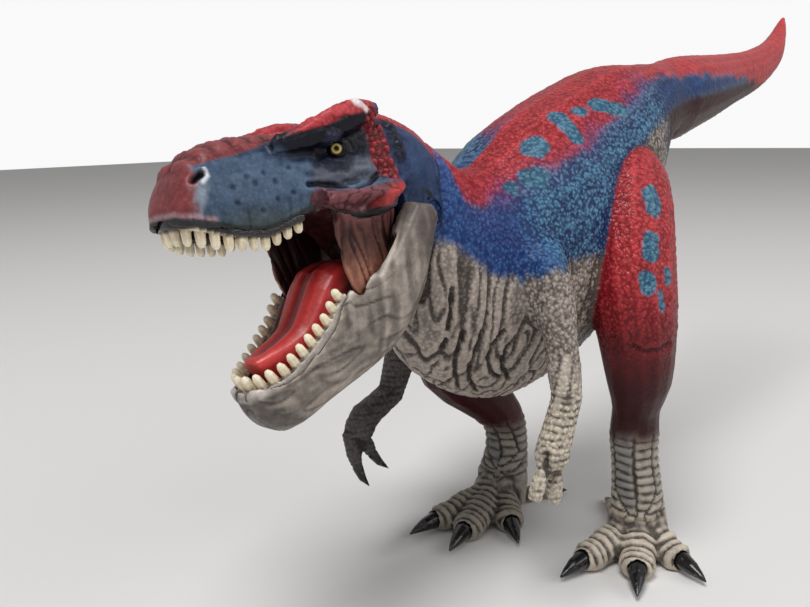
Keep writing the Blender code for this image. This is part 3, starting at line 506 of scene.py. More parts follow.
# %% Body clay and its labels
BODY = ["trunk", "tail", "leg_left", "leg_right", "arm_left", "arm_right"]
body = Clay(clay_of("body_skin", BODY, 0.52), lambda world: world.copy())


def nearest_solid(nodes, world):
    """For each point, the number of the solid in nodes that is nearest to it."""
    corners, faces, owner = [], [], []
    for number, name in enumerate(nodes):
        mesh = solids[name].data
        start = len(corners)
        corners += [v.co.copy() for v in mesh.vertices]
        for face in mesh.polygons:
            faces.append([start + i for i in face.vertices])
            owner.append(number)
    tree = BVHTree.FromPolygons(corners, faces)
    return np.array([owner[tree.find_nearest(Vector(p * MM))[2]] for p in world])


owner = nearest_solid(BODY, body.world)
on = {name: (owner == number).astype(float) for number, name in enumerate(BODY)}
P = body.world
along, up = P[:, 1], P[:, 2]
out = P[:, 0] - spine(along)[:, 0]
folded = np.stack([abs(out), along, up], 1)
torso = np.maximum(on["trunk"], on["tail"])
legs = np.maximum(on["leg_left"], on["leg_right"])
arms = np.maximum(on["arm_left"], on["arm_right"])
print({name: int(mask.sum()) for name, mask in on.items()})

# %% [markdown]
# ### Folds of the belly
# The belly and throat hang in long folds from top to bottom. Each fold is a noise
# stretched up and down, and a few deep ones are drawn with single strokes.
# The joint between trunk and tail is rubbed smooth first, and so is the shoulder.

# %% Soften the joints
TAIL_JOINT = 13
SHOULDER = (19.5, -65.5, 77.0)
body.shift[:, 0] -= 1.6 * on["arm_left"] * rise_over(up, 71, 78)
shoulder_gap = np.linalg.norm((P - SHOULDER) * (1, 1, 0.6), axis=1)
body.smooth((P[:, 0] > 0) * (1 - rise_over(shoulder_gap, 8, 13)) * (torso + on["arm_left"]), 160)
body.smooth(torso * (1 - rise_over(abs(along - TAIL_JOINT), 4, 9)), 120)
print("joints softened by up to", round(np.linalg.norm(body.shift, axis=1).max(), 2), "mm")

# %% Sculpt the trunk
FLANK_FOOT = [
    (-94, 87), (-88, 85.1), (-82, 80.6), (-75, 77.5), (-69, 76.4), (-65, 77.6), (-59, 78.6), (-51, 78),
    (-46, 77.8), (-44, 80.4), (-43, 83.4), (-41.5, 87), (-38, 92), (-30, 100), (-10, 108),
]
DEEP_FOLDS = [
    [(12.4, -82.1, 65.8), (11.1, -82.2, 63.1), (9.2, -81.6, 59.2), (7.2, -79.7, 55.3), (3.9, -75, 49.9)],
    [(13.9, -78.4, 65.4), (12.3, -78.2, 61.3), (10.1, -78, 57.4), (8.1, -76, 53.4), (5.7, -71, 48.8)],
    [(15.6, -73, 64.9), (14.3, -74.9, 62.5), (12.5, -74.8, 58.7), (11.2, -72.2, 54.7), (10.9, -68.8, 52.7)],
    [(16.2, -69.5, 63.2), (14.7, -71.2, 60.2), (12.9, -70, 55.7), (10.9, -65.9, 51.6)],
    [(10, -85.2, 64.6), (8.7, -85, 62.5)],
    [(17.2, -61.2, 62.1), (15.7, -61.7, 58.4), (14, -61.9, 54.9)],
    [(12.8, -86.3, 75.7), (11.8, -85.8, 70.5), (10.7, -85.5, 67)],
]
flank_foot = outline(along, FLANK_FOOT)
belly = torso * (1 - rise_over(up, flank_foot - 3, flank_foot + 3)) * (1 - rise_over(along, -22, -5))
chest = 1 - rise_over(along, -62, -48)
wobble = 1.3 * cloud(P, 9.0, 5)
swung = P + wobble[:, None] * (1, 1, 0)
long_line = 1 - rise_over(crease_gap(swung, (0.8, 1, 0.08), 4.2, 11), 0.1, 0.75)
small_line = 1 - rise_over(crease_gap(swung, (0.8, 1, 0.1), 2.4, 12), 0.05, 0.6)
creased = belly * (0.35 + 0.65 * chest)
body.lift(creased * long_line, -0.6)
body.lift(creased * small_line, -0.3)
deep = np.zeros(len(P))
for line in DEEP_FOLDS:
    fold_gap = away_from(folded, line) + 0.25 * cloud(P, 1.6, 13)
    deep = np.maximum(deep, 1 - rise_over(fold_gap, 0.15, 0.85))
body.lift(deep * torso, -1.0)
lumps = pebbles(P + wobble[:, None], 1.9, 21)
body.lift(torso * (1 - belly) * (lumps - 0.5), 0.12)
body.lift(belly * (1 - chest) * (lumps - 0.5), 0.3)
print("folds cut into the belly:", len(DEEP_FOLDS), "by hand")

# %% [markdown]
# ### Ribs of the feet
# Broad scales run across each toe, and down the front of the foot bone in three
# columns with a groove between two of them. A rib is the positive half of a wave, with
# its phase taken from the distance along the toe or up the bone.

# %% Sculpt the legs and feet
RIB_TOP = {"left": 30, "right": 25}
KNEE_CREASE = [(4.4, -8.6, 58.3), (6.7, -6.9, 56.8), (8.6, -4.3, 57.2), (9.3, -0.6, 58.1)]
COLUMN = 56


def ribbed(length, pitch):
    """Rounded ribs with narrow grooves between."""
    return np.sqrt(np.abs(np.sin(np.pi * length / pitch)))


leg_place, round_bone = {}, {}
rib_shade = np.ones(len(P))
foot = np.zeros(len(P))
for side, sign in (("left", 1), ("right", -1)):
    leg = on["leg_" + side]
    centre = bone[side](up)
    leg_out = sign * (P[:, 0] - centre[:, 0])
    leg_fore = P[:, 1] - centre[:, 1]
    leg_place[side] = np.stack([leg_out, leg_fore, up], 1)
    angle = np.degrees(np.arctan2(leg_out, -leg_fore))
    round_bone[side] = angle
    ankle = bone[side](np.array([22.0]))[0]
    reach = np.hypot(P[:, 0] - ankle[0], P[:, 1] - ankle[1] - 2)
    toes = leg * (1 - rise_over(up, 10, 14)) * rise_over(reach, 4, 7)
    shin = leg * rise_over(up, 9, 13) * (1 - rise_over(up, RIB_TOP[side], RIB_TOP[side] + 4))
    wave = up + 0.35 * np.round(angle / 55) * 2.2 + 0.4 * cloud(P, 5.0, 31)
    groove = rise_over(np.abs((angle + COLUMN / 2) % COLUMN - COLUMN / 2) / (COLUMN / 2), 0.72, 1.0)
    toe_ribs = ribbed(reach + 0.5 * cloud(P, 4.0, 33), 2.15)
    shin_ribs = ribbed(wave, 2.3)
    upward = rise_over(body.normal[:, 2], -0.5, 0.1)
    body.lift(toes * upward * (toe_ribs - 0.7), 0.95)
    body.lift(shin * (shin_ribs - 0.7), 0.75)
    body.lift(shin * groove, -0.7)
    rib_shade -= toes * upward * (1 - toe_ribs) * 1.1 + shin * np.maximum(1 - shin_ribs, groove) * 1.1
    foot = np.maximum(foot, leg * (1 - rise_over(up, 24, 33)))
knee_gap = away_from(leg_place["left"], KNEE_CREASE)
body.lift(on["leg_left"] * (1 - rise_over(knee_gap, 0.1, 0.9)), -0.5)
thigh = legs * rise_over(up, 52, 60)
body.lift(thigh * (pebbles(P, 1.7, 23) - 0.5), 0.2)
print("points on the feet:", int(foot.sum()))

# %% [markdown]
# ### Arms
# The forearm and fingers carry small cross ribs, and the rest of the arm is pebbled.
# A gap is drawn between the two fingers of the left hand, and a ridge down its arm.

# %% Sculpt the arms
FINGER_GAP = [(21.3, -73.2, 40.4), (21.4, -73.4, 37), (21.7, -74.3, 31.5)]
ARM_RIDGE = [(22, -67.4, 59.8), (21.3, -68.2, 53.5), (20.4, -69.5, 49.2)]
arm_ribs = ribbed(up + 0.4 * cloud(P, 2.4, 41), 1.4)
body.lift(arms * (1 - rise_over(up, 50, 56)) * (arm_ribs - 0.7), 0.28)
body.lift(arms * rise_over(up, 50, 56) * (pebbles(P, 1.5, 42) - 0.5), 0.2)
finger_gap = on["arm_left"] * (1 - rise_over(away_from(P, FINGER_GAP), 0.3, 1.3))
body.lift(finger_gap, -1.0)
arm_ridge = on["arm_left"] * (1 - rise_over(away_from(P, ARM_RIDGE), 0.4, 1.6))
body.lift(arm_ridge, 0.4)
print("points on the arms:", int(arms.sum()))

# %% [markdown]
# ### Paint of the trunk and tail
# The back is red, the flanks blue with a paler blue dry-brushed over them, and the
# belly stone grey. Edges between two colours are airbrushed, so they are soft, and a
# little noise breaks them up. Each paint is a pair: valley colour, then top colour.

# %% Body paints
RED = (126, 24, 32), (190, 62, 66)
SHADED_RED = (66, 6, 13), (112, 24, 30)
DEEP_RED_AND_SHADE = (34, 2, 6), (58, 8, 12)
BLUE = (8, 34, 76), (84, 132, 162)
CLEAR_BLUE = (14, 38, 94), (38, 74, 134)
TAIL_BLUE = (8, 28, 72), (28, 56, 108)
PURPLE = (56, 40, 88), (104, 86, 134)
TEAL = (28, 72, 98), (88, 130, 152)
STONE = (82, 73, 68), (172, 160, 150)
FOLD_WASH = (38, 32, 30), (66, 58, 53)
SHIN = (74, 68, 63), (166, 158, 146)
FAR_SHIN_SHADE = (44, 43, 39), (104, 101, 92)
SHIN_COLUMN = (48, 50, 54), (122, 122, 122)
TOES = (82, 76, 70), (196, 184, 168)
RIB_WASH = (50, 44, 40), (98, 90, 82)
DARK_ARM = (34, 31, 31), (80, 74, 73)
PALE_ARM = (92, 84, 76), (206, 194, 176)
WORN_ARM = (168, 156, 140), (224, 214, 198)
ARM_WASH = (44, 39, 36), (76, 68, 62)
FINGER_SHADOW = (26, 18, 16), (40, 30, 26)

RED_FOOT = [
    (-94, 104), (-84, 102), (-82, 93), (-77, 90.7), (-70, 92.5), (-64, 95), (-59, 97.7), (-55, 98.1),
    (-48, 100.8), (-42, 104.3), (-36, 107.4), (-29, 109.9), (-22, 113.9), (-12, 117.5), (0, 119.3),
    (22, 120.3), (51, 120.4), (75, 120.8), (82, 119),
]
RED_FOOT_RIGHT = [(-94, 0), (-75, 6), (-62, 9), (-50, 6), (-20, 0), (0, 0)]
BLUE_END = [(-30, 90), (-11, 109), (2, 112), (18, 114.4), (41, 116.8), (72, 120.2), (82, 122)]

# %% Paint the trunk and tail
edge = 1.1 * cloud(P, 4.0, 51) + 0.6 * cloud(P, 1.7, 52)
red_foot = outline(along, RED_FOOT) + (out < 0) * outline(along, RED_FOOT_RIGHT)
blue_end = outline(along, BLUE_END)
below_red = torso * (1 - rise_over(up + edge, red_foot - 1.4, red_foot + 1.4))
above_under = rise_over(up, blue_end - 1.6, blue_end + 1.6)
below_flank = torso * (1 - rise_over(up + 1.2 * edge, flank_foot - 1.8, flank_foot + 1.8))
neck = 1 - rise_over(along, -72, -60)
tail_run = rise_over(along, -14, -4)
body.coat(*RED)
body.paint(below_red * (1 - rise_over(along, 66, 80)), *BLUE)
body.paint(below_red * neck * rise_over(up, 74, 79), *CLEAR_BLUE, 0.85)
body.paint(below_red * tail_run * above_under, *TAIL_BLUE, 0.9)
# The tail's underside is painted dark red: painted shade.
body.paint(below_red * tail_run * (1 - above_under), *DEEP_RED_AND_SHADE)
body.paint(below_flank * (1 - tail_run), *STONE)
creases = np.maximum(0.75 * long_line, 0.4 * small_line) * (0.65 + 0.5 * cloud(P, 5.0, 14))
body.paint(np.clip(deep ** 2 + creased * creases, 0, 1) * torso, *FOLD_WASH, 0.9)
blend_line = np.exp(-((up + edge - red_foot) / 2.6) ** 2) * (0.5 + 0.5 * cloud(P, 7.0, 53))
body.paint(blend_line * torso * (1 - tail_run), *PURPLE, 0.8)
print("points under the red:", int(below_red.sum()))

# %% [markdown]
# ### Spots
# Teal spots are dabbed on where the red is. A spot is a short line of points with a
# reach round it, given as if the body were folded in half, so each side gets it.

# %% Paint the spots
TRUNK_SPOTS = [
    ([(10.4, -56, 102.9)], 3.4),
    ([(8.5, -45.8, 109.2), (14.1, -46.1, 104.5)], 2.3),
    ([(10.6, -40.2, 110.4)], 2.1),
    ([(11.4, -34.6, 112), (12.9, -32.1, 111.3), (14.7, -28.5, 110.6)], 2.4),
    ([(11.7, -66, 94.5)], 1.9),
    ([(12.7, -61.5, 96.6), (14.1, -59.4, 96.5)], 2.6),
]
LEG_SPOTS = [
    ([(11.4, -4.3, 91), (11.9, -3.8, 88.8)], 2.6),
    ([(12.4, -5.9, 80.8), (12.7, -5.8, 79.2)], 2.6),
    ([(8.6, -6.9, 73.2), (8.1, -6.7, 71.8)], 2.2),
    ([(11.1, -1.1, 74.4), (9.4, -1.1, 72.1)], 1.2),
    ([(9, -3.7, 70), (9.1, -3.5, 66.8)], 1.1),
    ([(7, 8, 84), (7, 9, 79)], 2.2),
    ([(6, 8, 72), (6, 9, 68)], 1.7),
]
spot_wobble = 0.5 * cloud(P, 1.9, 61)


def dab_spots(place, where, spots, inner):
    """Teal on this part of the body, where a place is within a spot's reach."""
    for line, reach in spots:
        gap = away_from(place, line) + spot_wobble
        body.paint(where * (1 - rise_over(gap, reach - inner, reach + 0.3)), *TEAL)


dab_spots(folded, torso, TRUNK_SPOTS, 0.5)
print("spots:", len(TRUNK_SPOTS), "on the trunk,", len(LEG_SPOTS), "on each leg")

# %% [markdown]
# ### Paint of the legs and arms
# The thighs darken downwards, partly in darker red paint and partly in painted shade,
# into a bare shin of stone grey, with a cooler column in front and pale toes. The far
# right shin and foot are painted darker as painted shade. The grooves are painted
# darker. The right arm is dark all over, and the left one pale with a worn ridge.

# %% Paint the legs and feet
SHIN_TOP = {"left": 31, "right": 24}
# The right foot takes the pale toe paint only weakly: painted shade on the far foot.
TOE_STRENGTH = {"left": 1.0, "right": 0.4}
for side in ("left", "right"):
    leg = on["leg_" + side]
    # The legs are painted darker red downwards: partly darker paint, partly painted shade.
    body.paint(leg * (1 - rise_over(up + edge, 44, 84)), *SHADED_RED)
    body.paint(leg * (1 - rise_over(up + edge, 42, 70)), *DEEP_RED_AND_SHADE)
    dab_spots(leg_place[side], leg, LEG_SPOTS, 0.4)
    low_leg = leg * (1 - rise_over(up + edge, SHIN_TOP[side] - 4, SHIN_TOP[side] + 4))
    body.paint(low_leg, *SHIN)
    body.paint(low_leg * (1 - rise_over(up + edge, 9, 17)), *TOES, TOE_STRENGTH[side])
    # The far right shin and foot are painted darker all over: painted shade.
    if side == "right":
        body.paint(low_leg, *FAR_SHIN_SHADE, 0.45)
    middle_column = 1 - rise_over(abs(round_bone[side]), 18, 34)
    body.paint(low_leg * middle_column * rise_over(up, 11, 15), *SHIN_COLUMN, 0.7)
body.paint(np.clip(1 - rib_shade, 0, 1) * foot, *RIB_WASH, 0.72)
print("legs painted")

# %% Paint the arms and finish the body
ARM_BLUE_FOOT = [(-75, 77), (-69, 78), (-66, 79), (-58, 79.2)]
shoulder = rise_over(up + edge, 50, 58)
body.paint(on["arm_right"], *DARK_ARM)
body.paint(on["arm_left"], *PALE_ARM)
body.paint(on["arm_left"] * shoulder, *STONE)
body.paint(arm_ridge, *WORN_ARM, 0.35)
blue_foot = outline(along, ARM_BLUE_FOOT)
arm_blue = on["arm_left"] * rise_over(up + 1.2 * edge, blue_foot - 1.5, blue_foot + 1.5)
body.paint(arm_blue, *BLUE)
body.paint(arm_blue * neck, *CLEAR_BLUE, 0.85)
body.paint(arms * (1 - shoulder) * (1 - arm_ribs), *ARM_WASH, 0.7)
body.paint(finger_gap ** 2, *FINGER_SHADOW, 0.9)
body.grain = 1 - 0.75 * foot - 0.35 * belly * chest - 0.7 * legs * (1 - rise_over(up, 50, 60))
body.grain = np.clip(body.grain * (1 - 0.75 * rise_over(along, 0, 20)), 0.08, 1)
body.shine = 0.6 * thigh + 0.25 * torso * (1 - belly)
body.finish()

# %% [markdown]
# ### Cutting the skin apart
# The skin is cut where the glue lines are, so that each piece stands for its own
# solid. Each open rim is closed with a fan of faces that lies hidden inside. The two
# sides of a cut keep the normals of the whole skin, so that no seam shows.

# %% Cut the body skin into its pieces
def closed_part(piece, kept):
    """Deletes the faces that aren't kept, closes the rims and counts the old points."""
    work = bmesh.new()
    work.from_mesh(piece.data)
    work.faces.ensure_lookup_table()
    bmesh.ops.delete(work, geom=[work.faces[i] for i in np.nonzero(~kept)[0]], context="FACES")
    rims = [e for e in work.edges if e.is_boundary]
    caps = bmesh.ops.holes_fill(work, edges=rims, sides=0)["faces"]
    kept_points = len(work.verts)
    bmesh.ops.poke(work, faces=caps)
    work.to_mesh(piece.data)
    work.free()
    return kept_points


def cut_apart(skin, owner, names, material):
    """Splits a skin into one closed piece for each number in owner."""
    mesh = skin.data
    whole_normals = np.array([v.normal[:] for v in mesh.vertices])
    first = np.array([face.vertices[0] for face in mesh.polygons])
    number_in_whole = mesh.attributes.new("whole", "INT", "POINT")
    number_in_whole.data.foreach_set("value", np.arange(len(mesh.vertices), dtype=np.int32))
    made = []
    for part, name in enumerate(names):
        use(skin)
        bpy.ops.object.duplicate()
        piece = bpy.context.view_layer.objects.active
        piece.name = name
        kept_points = closed_part(piece, owner[first] == part)
        number = np.empty(len(piece.data.vertices), np.int32)
        piece.data.attributes["whole"].data.foreach_get("value", number)
        normals = np.array([v.normal[:] for v in piece.data.vertices])
        normals[:kept_points] = whole_normals[number[:kept_points]]
        piece.data.normals_split_custom_set_from_vertices(normals)
        piece.data.materials.append(material)
        made.append(piece)
        print(name, "has", len(piece.data.polygons), "faces")
    bpy.data.objects.remove(skin)
    return made


body_pieces = cut_apart(body.piece, owner, [name + "_skin" for name in BODY], body_paint)
for name, skin in zip(BODY, body_pieces):
    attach(skin, "figure")
    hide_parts(name)

# %% [markdown]
# ## Head skin
# The skull has more detail than the rest: a knobbly ridge along the snout and over
# each eye, a swollen bone under the eye, and nostrils. Its points lie closer, and its
# strokes are given in the head's own frame: sideways, back from the pin, and up.

# %% Head clay
HEAD_NODES = ["skull", "cheek_left", "cheek_right"]
head = Clay(clay_of("head_skin", HEAD_NODES, 0.34, soften=4), in_frame(HEAD))
Q = head.local
Qx, Qy, Qz = Q.T
muscle = (nearest_solid(HEAD_NODES, head.world) > 0).astype(float)
head_back = np.array(HEAD.inverted())
aside = np.sign(head.world @ head_back[0, :3] + head_back[0, 3])
facing = head.normal @ HEAD_TURN
outward = facing[:, 0] * aside
rough = cloud(Q, 1.6, 71)
print("head points:", len(Q))

# %% Sculpt the brow and the snout
BROW = [(8.5, -25.5, 12.9), (9.9, -22, 14.4), (12.2, -19.1, 15.5), (13.4, -15.4, 16.7), (13.7, -11.6, 17.6)]
LOBE_TOPS = [(-41.5, 10.0), (-38, 12.0), (-34, 13.0), (-30, 13.4), (-26, 13.6), (-22, 14.6)]
RED_EDGE = [
    (-44, 8.3), (-40.8, 9.1), (-37.7, 9.8), (-33.1, 10.6), (-28.7, 11.7), (-26.3, 12.4), (-23.6, 12.8),
    (-20, 13.4),
]
LOBES, FIRST_LOBE, LOBE_PITCH = 7, -41, 3.3
hinge_gap = np.hypot(Qy, Qz + PIN_BELOW_HEAD)
recess = rise_over(hinge_gap, 4.9, 5.5) * (1 - rise_over(hinge_gap, 8.4, 9.4))
recess = recess * rise_over(Qx, 9, 10.5) * rise_over(Qy + 0.6 * Qz, -2.5, 0.5)
head.smooth(recess, 70)
head.lift(head.near(BROW, 2.2) * (0.6 + 0.5 * rough + 0.35 * pebbles(Q, 1.5, 72)), 0.7)
snout_lobes = np.zeros(len(Q))
for number in range(LOBES):
    y = FIRST_LOBE + number * LOBE_PITCH
    z = outline(y, LOBE_TOPS)
    snout_lobes = np.maximum(snout_lobes, head.near([(1.2, y, z), (4.2, y, z - 0.5)], 2.1))
head.lift(snout_lobes, 0.65)
top_red = rise_over(Qz - outline(Qy, RED_EDGE), -0.5, 0.7)
head.lift(top_red * (pebbles(Q, 1.4, 73) - 0.5), 0.12)
print("lobes along the snout:", LOBES)

# %% [markdown]
# ### Eye socket
# The lids are drawn in round the eyeball: each point near the rim of the eye moves
# toward the line on which the eye looks out. Fine wrinkles and the hollow over the
# bone follow, and the flesh under the eye is tucked in behind the teeth.

# %% Sculpt the socket and the cheek
EYE_AT = np.array((10.8, -15.55, 9.75))
EYE_RUN = np.array((0.86, -0.5, 0.08)) / np.linalg.norm((0.86, -0.5, 0.08))
SOCKET_HOLLOW = [(10.2, -19.4, 8.8), (10.8, -13, 10.8), (12, -11.3, 9.9)]
CHEEK_BONE = [(10.8, -18.7, 6), (11.5, -15.8, 6.2), (12.2, -12.8, 6.4), (12.7, -9.6, 6.3)]
BONE_GROOVE = [
    (10.1, -21.8, 4.7), (10.6, -20, 4.6), (11.1, -17.7, 4.2), (12.4, -16, 3.6), (13.8, -14.3, 3.4),
    (14.2, -11.9, 3.7), (13, -8.5, 5.1),
]
flesh_under = (1 - muscle) * rise_over(-Qz, -2.5, 1.0) * rise_over(Qy, -21, -18)
flesh_under = flesh_under * (1 - rise_over(Qy, -10.5, -8.5))
muscle_top = 0.9 * muscle * rise_over(Qz, -6, -1) * (outward > 0.2)
tuck = muscle_top - 0.85 * flesh_under * np.clip(Qx - 11.4, 0, 9)
head.shift += (tuck * aside)[:, None] * HEAD_TURN[:, 0]
head.lift(head.near(SOCKET_HOLLOW, 2.2), -0.45)
from_eye = Q - EYE_AT
ahead_of_eye = from_eye @ EYE_RUN
beside_eye = from_eye - ahead_of_eye[:, None] * EYE_RUN
eye_gap = np.linalg.norm(beside_eye, axis=1) + 9 * (ahead_of_eye < -1.5)
lid = 1 - rise_over(abs(eye_gap - 2.3), 0.5, 1.3)
closing = -beside_eye / np.maximum(eye_gap, 0.3)[:, None]
inward = closing * (lid * np.clip(eye_gap - 1.35, 0, 0.75))[:, None] + 0.75 * lid[:, None] * EYE_RUN
inward[:, 0] *= aside
head.shift += inward @ HEAD_TURN.T
wrinkle = (1 - rise_over(abs(eye_gap - 3.3 + 0.5 * rough), 0.1, 0.7)) * (0.6 + 0.4 * rough)
head.lift(wrinkle, -0.3)
lumps_round_eye = cloud(Q * (1, 0.7, 1.6), 1.7, 78) * rise_over(eye_gap, 2.6, 3.4)
head.lift(lumps_round_eye * (1 - rise_over(eye_gap, 6.5, 8)), 0.22)
head.lift(head.near(CHEEK_BONE, 3.0), 0.55)
head.lift(head.near(BONE_GROOVE, 0.8), -0.8)
print("lid points:", int((lid > 0.5).sum()))

# %% [markdown]
# ### Nostril, lip and band
# The nostril is a short deep stroke with a raised rim behind it. Small pits lie in the
# cheek, a band of coarse scales runs down behind the eye, and a knob sits behind it.

# %% Sculpt the snout's marks
NOSTRIL = [(6.0, -41.3, 7.4), (6.3, -39.9, 8.2)]
NOSTRIL_RIM = [(6.4, -39.3, 9), (7, -39.3, 7.6), (7.1, -40.3, 6.7)]
LIP = [
    (-1, -44.6, 1.1), (3.9, -44.2, 1.0), (6.2, -42.6, 0.5), (7.2, -39.5, -0.4), (7.9, -36, -1.6),
    (8.4, -31, -2.3), (8.9, -27, -1.6), (9.4, -23.5, -0.4), (9.6, -21.6, 0.6),
]
PITS = [
    (8.3, -32.9, 7), (8.6, -29.7, 7.4), (9, -28, 5.8), (9.1, -28, 2.8), (8.5, -31.6, 5.7),
    (8.1, -35.7, 5.4), (8.3, -35.4, 2.9), (8.7, -31, 1.2), (9.2, -24.9, 7.9), (9.6, -25, 3.6),
]
BAND = [(12.4, -8.0, 15.6), (11.2, -5.8, 13.6), (12.3, -6.4, 10.9), (12.9, -7.0, 7.9), (13.2, -5.6, 5.5)]
KNOB = [(10.4, -1.3, 14.2), (12, -1.6, 11.1), (12.8, -2, 8.8)]
head.lift(head.near(NOSTRIL, 1.0), -1.3)
head.lift(head.near(NOSTRIL_RIM, 0.8), 0.3)
head.lift(head.near(LIP, 0.9), 0.35)
pits = np.zeros(len(Q))
for pit in PITS:
    pits = np.maximum(pits, head.near([pit], 0.75))
head.lift(pits, -0.2)
band = head.near(BAND, 2.5, 0.3)
band_scales = pebbles(Q, 1.3, 74)
head.lift(band * (band_scales - 0.3), 0.8)
head.lift(head.near(KNOB, 2.1) * (0.4 + pebbles(Q, 2.0, 79)), 0.8)
print("pits in the cheek:", len(PITS))

# %% [markdown]
# ### Muscle and flesh
# Behind the mouth a curtain of muscle hangs in strings from the flesh under the eye.
# The skull's rear rim is rubbed smooth and sinks a little into the neck.

# %% Sculpt the muscle and the flesh
FLESH_LINE = [
    (10.5, -19.8, 1.6), (13, -18.6, 1), (14.3, -15.8, 0.8), (15.4, -12.5, 0.9), (15.9, -9.2, 1.2),
    (15.5, -5.4, 2.0),
]
strings = np.stack([Qx, Qy + 0.3 * Qz, Qz * 0.12], 1)
pull = folds(strings, 1.5, 75)
head.lift(muscle * (pull - 1), 0.45)
flesh = head.near(FLESH_LINE, 2.8, 0.4)
head.lift(flesh * (folds(Q * (1, 1, 1.5), 2.2, 76) - 1), 0.3)
side_face = rise_over(abs(facing[:, 0]), 0.3, 0.7)
upright = folds(np.stack([Qx, Qy, Qz * 0.25], 1), 1.9, 77)
head.lift(side_face * (1 - rise_over(Qz, 0.5, 4)) * (upright - 1), 0.15)
head.smooth(rise_over(Qy, 1, 4), 60)
head.lift(rise_over(Qy, 4, 11), -0.4)
print("head sculpted, muscle down to", round(Qz[muscle > 0].min(), 1), "mm")

# %% [markdown]
# ### Head paint
# Slate blue cheeks, a maroon snout, a bright red ridge over navy eye sockets, grey
# bone under the eye, and flesh behind the mouth. A pale worn patch runs down from the
# nostril to the lip, and a dark edge follows the lip itself.

# %% Head paints
SLATE = (32, 46, 68), (78, 98, 122)
GREENISH = (40, 48, 48), (70, 82, 80)
CHEEK_BLUE = (44, 62, 90), (86, 108, 134)
NECK_BLUE = (20, 34, 66), (54, 76, 112)
MAROON = (78, 26, 31), (136, 68, 70)
BRIGHT_RED = (126, 24, 32), (184, 66, 71)
NAVY = (8, 10, 26), (24, 28, 50)
SOCKET_NAVY = (4, 5, 15), (12, 14, 30)
ASH = (46, 48, 62), (94, 98, 112)
GROOVE_WASH = (14, 12, 22), (22, 20, 30)
BAND_RED = (130, 26, 34), (186, 64, 66)
BAND_WASH = (48, 6, 14), (74, 12, 20)
FLESH = (66, 32, 38), (122, 70, 76)
FLESH_RED = (132, 30, 34), (188, 66, 62)
FLESH_UNDERSIDE_SHADE = (40, 20, 22), (70, 38, 40)
WORN_WHITE = (196, 184, 184), (230, 222, 220)
WORN_PINK = (190, 140, 142), (226, 190, 190)
WORN_BLUE = (88, 98, 114), (168, 178, 190)
RIM_WHITE = (200, 204, 210), (230, 232, 236)
NOSTRIL_DARK = (14, 8, 12), (24, 14, 20)
LIP_PINK = (102, 76, 84), (172, 144, 150)
LIP_DARK = (20, 22, 24), (46, 48, 50)
GUM_AND_UNDERSIDE_SHADE = (22, 20, 22), (44, 40, 42)
PALATE = (40, 10, 14), (62, 20, 24)
MUSCLE = (46, 24, 21), (98, 62, 54)
MUSCLE_WASH = (28, 12, 11), (52, 26, 23)
MUSCLE_TOP = (62, 28, 32), (116, 66, 68)
MUSCLE_INSIDE_SHADE = (26, 8, 10), (46, 16, 18)
SINEW = (100, 54, 42), (178, 122, 100)
THROAT_GREY = (58, 50, 46), (112, 101, 94)

# %% Paint the snout, cheeks and neck
NECK_RED_FOOT = [(-3, 15.6), (2.6, 14.2), (7.4, 11.1), (10, 7.7), (12, 4.5)]
edge = 0.5 * cloud(Q, 2.4, 81)
head.coat(*SLATE)
head.paint(1 - rise_over(Qz + edge * 2, -1.0, 3.4), *GREENISH, 0.9)
head.paint(head.near([(8, -30, 6), (9, -24, 6)], 7) * rise_over(Qz, 2, 5), *CHEEK_BLUE, 0.5)
head.paint(pits, *NAVY, 0.4)
snout_end = 1 - rise_over(Qy + edge, -42.4 + 0.12 * Qz, -41.2 + 0.12 * Qz)
head.paint(snout_end, *MAROON)
head.paint(rise_over(top_red + edge * 0.4, 0.3, 0.8) * (1 - rise_over(Qy, -12, -6)), *MAROON)
head.paint(rise_over(Qy, -9, -5), *NECK_BLUE)
neck_red = rise_over(Qz + edge - outline(Qy, NECK_RED_FOOT), -0.8, 0.8) * rise_over(Qy, -4, -2)
head.paint(neck_red, *BRIGHT_RED)
print("snout and neck painted")

# %% Paint round the eye
NAVY_LOW = [(-26, 11.1), (-23.2, 9.9), (-20.1, 9.6), (-18, 8.2), (-15, 7.6), (-11.7, 9.4), (-8, 7.6)]
NAVY_HIGH = [(-26, 12.0), (-23.5, 12.9), (-21.5, 13.4), (-18.1, 14.2), (-15.5, 15.2), (-10.6, 15.8)]
NAVY_STREAK = [(5.4, -36, 9.7), (6.7, -33.1, 10.2), (6.6, -28.7, 11.2), (8.9, -26.3, 11.9)]
navy_low = outline(Qy, NAVY_LOW)
navy = rise_over(Qz + edge, navy_low - 0.7, navy_low + 0.7) * rise_over(Qy, -29, -26)
navy = navy * (1 - rise_over(Qy, -9.5, -7.5)) * rise_over(Qx, 6, 8)
head.paint(navy, *SOCKET_NAVY)
head.paint(head.near(NAVY_STREAK, 0.8), *NAVY, 0.7)
head.paint(head.near(CHEEK_BONE, 3.1, 0.4) * rise_over(Qz, 3.6, 4.4) * (1 - 0.8 * navy), *ASH)
head.paint(flesh * (1 - muscle), *FLESH)
head.paint(1 - rise_over(abs(eye_gap - 2.2), 0.8, 1.4), *NAVY)
head.paint(head.near(BONE_GROOVE, 0.85), *GROOVE_WASH)
over_navy = rise_over(Qz - outline(Qy, NAVY_HIGH) + 0.5 * edge, -0.1, 0.5)
head.paint(rise_over(Qy, -25, -22) * over_navy * (1 - rise_over(Qy, -8, -5)), *BRIGHT_RED)
head.paint(band, *BAND_RED)
head.paint(band * (1 - band_scales), *BAND_WASH, 0.85)
head.paint(head.near(KNOB, 2.4, 0.5), *NAVY)
print("eye socket painted")

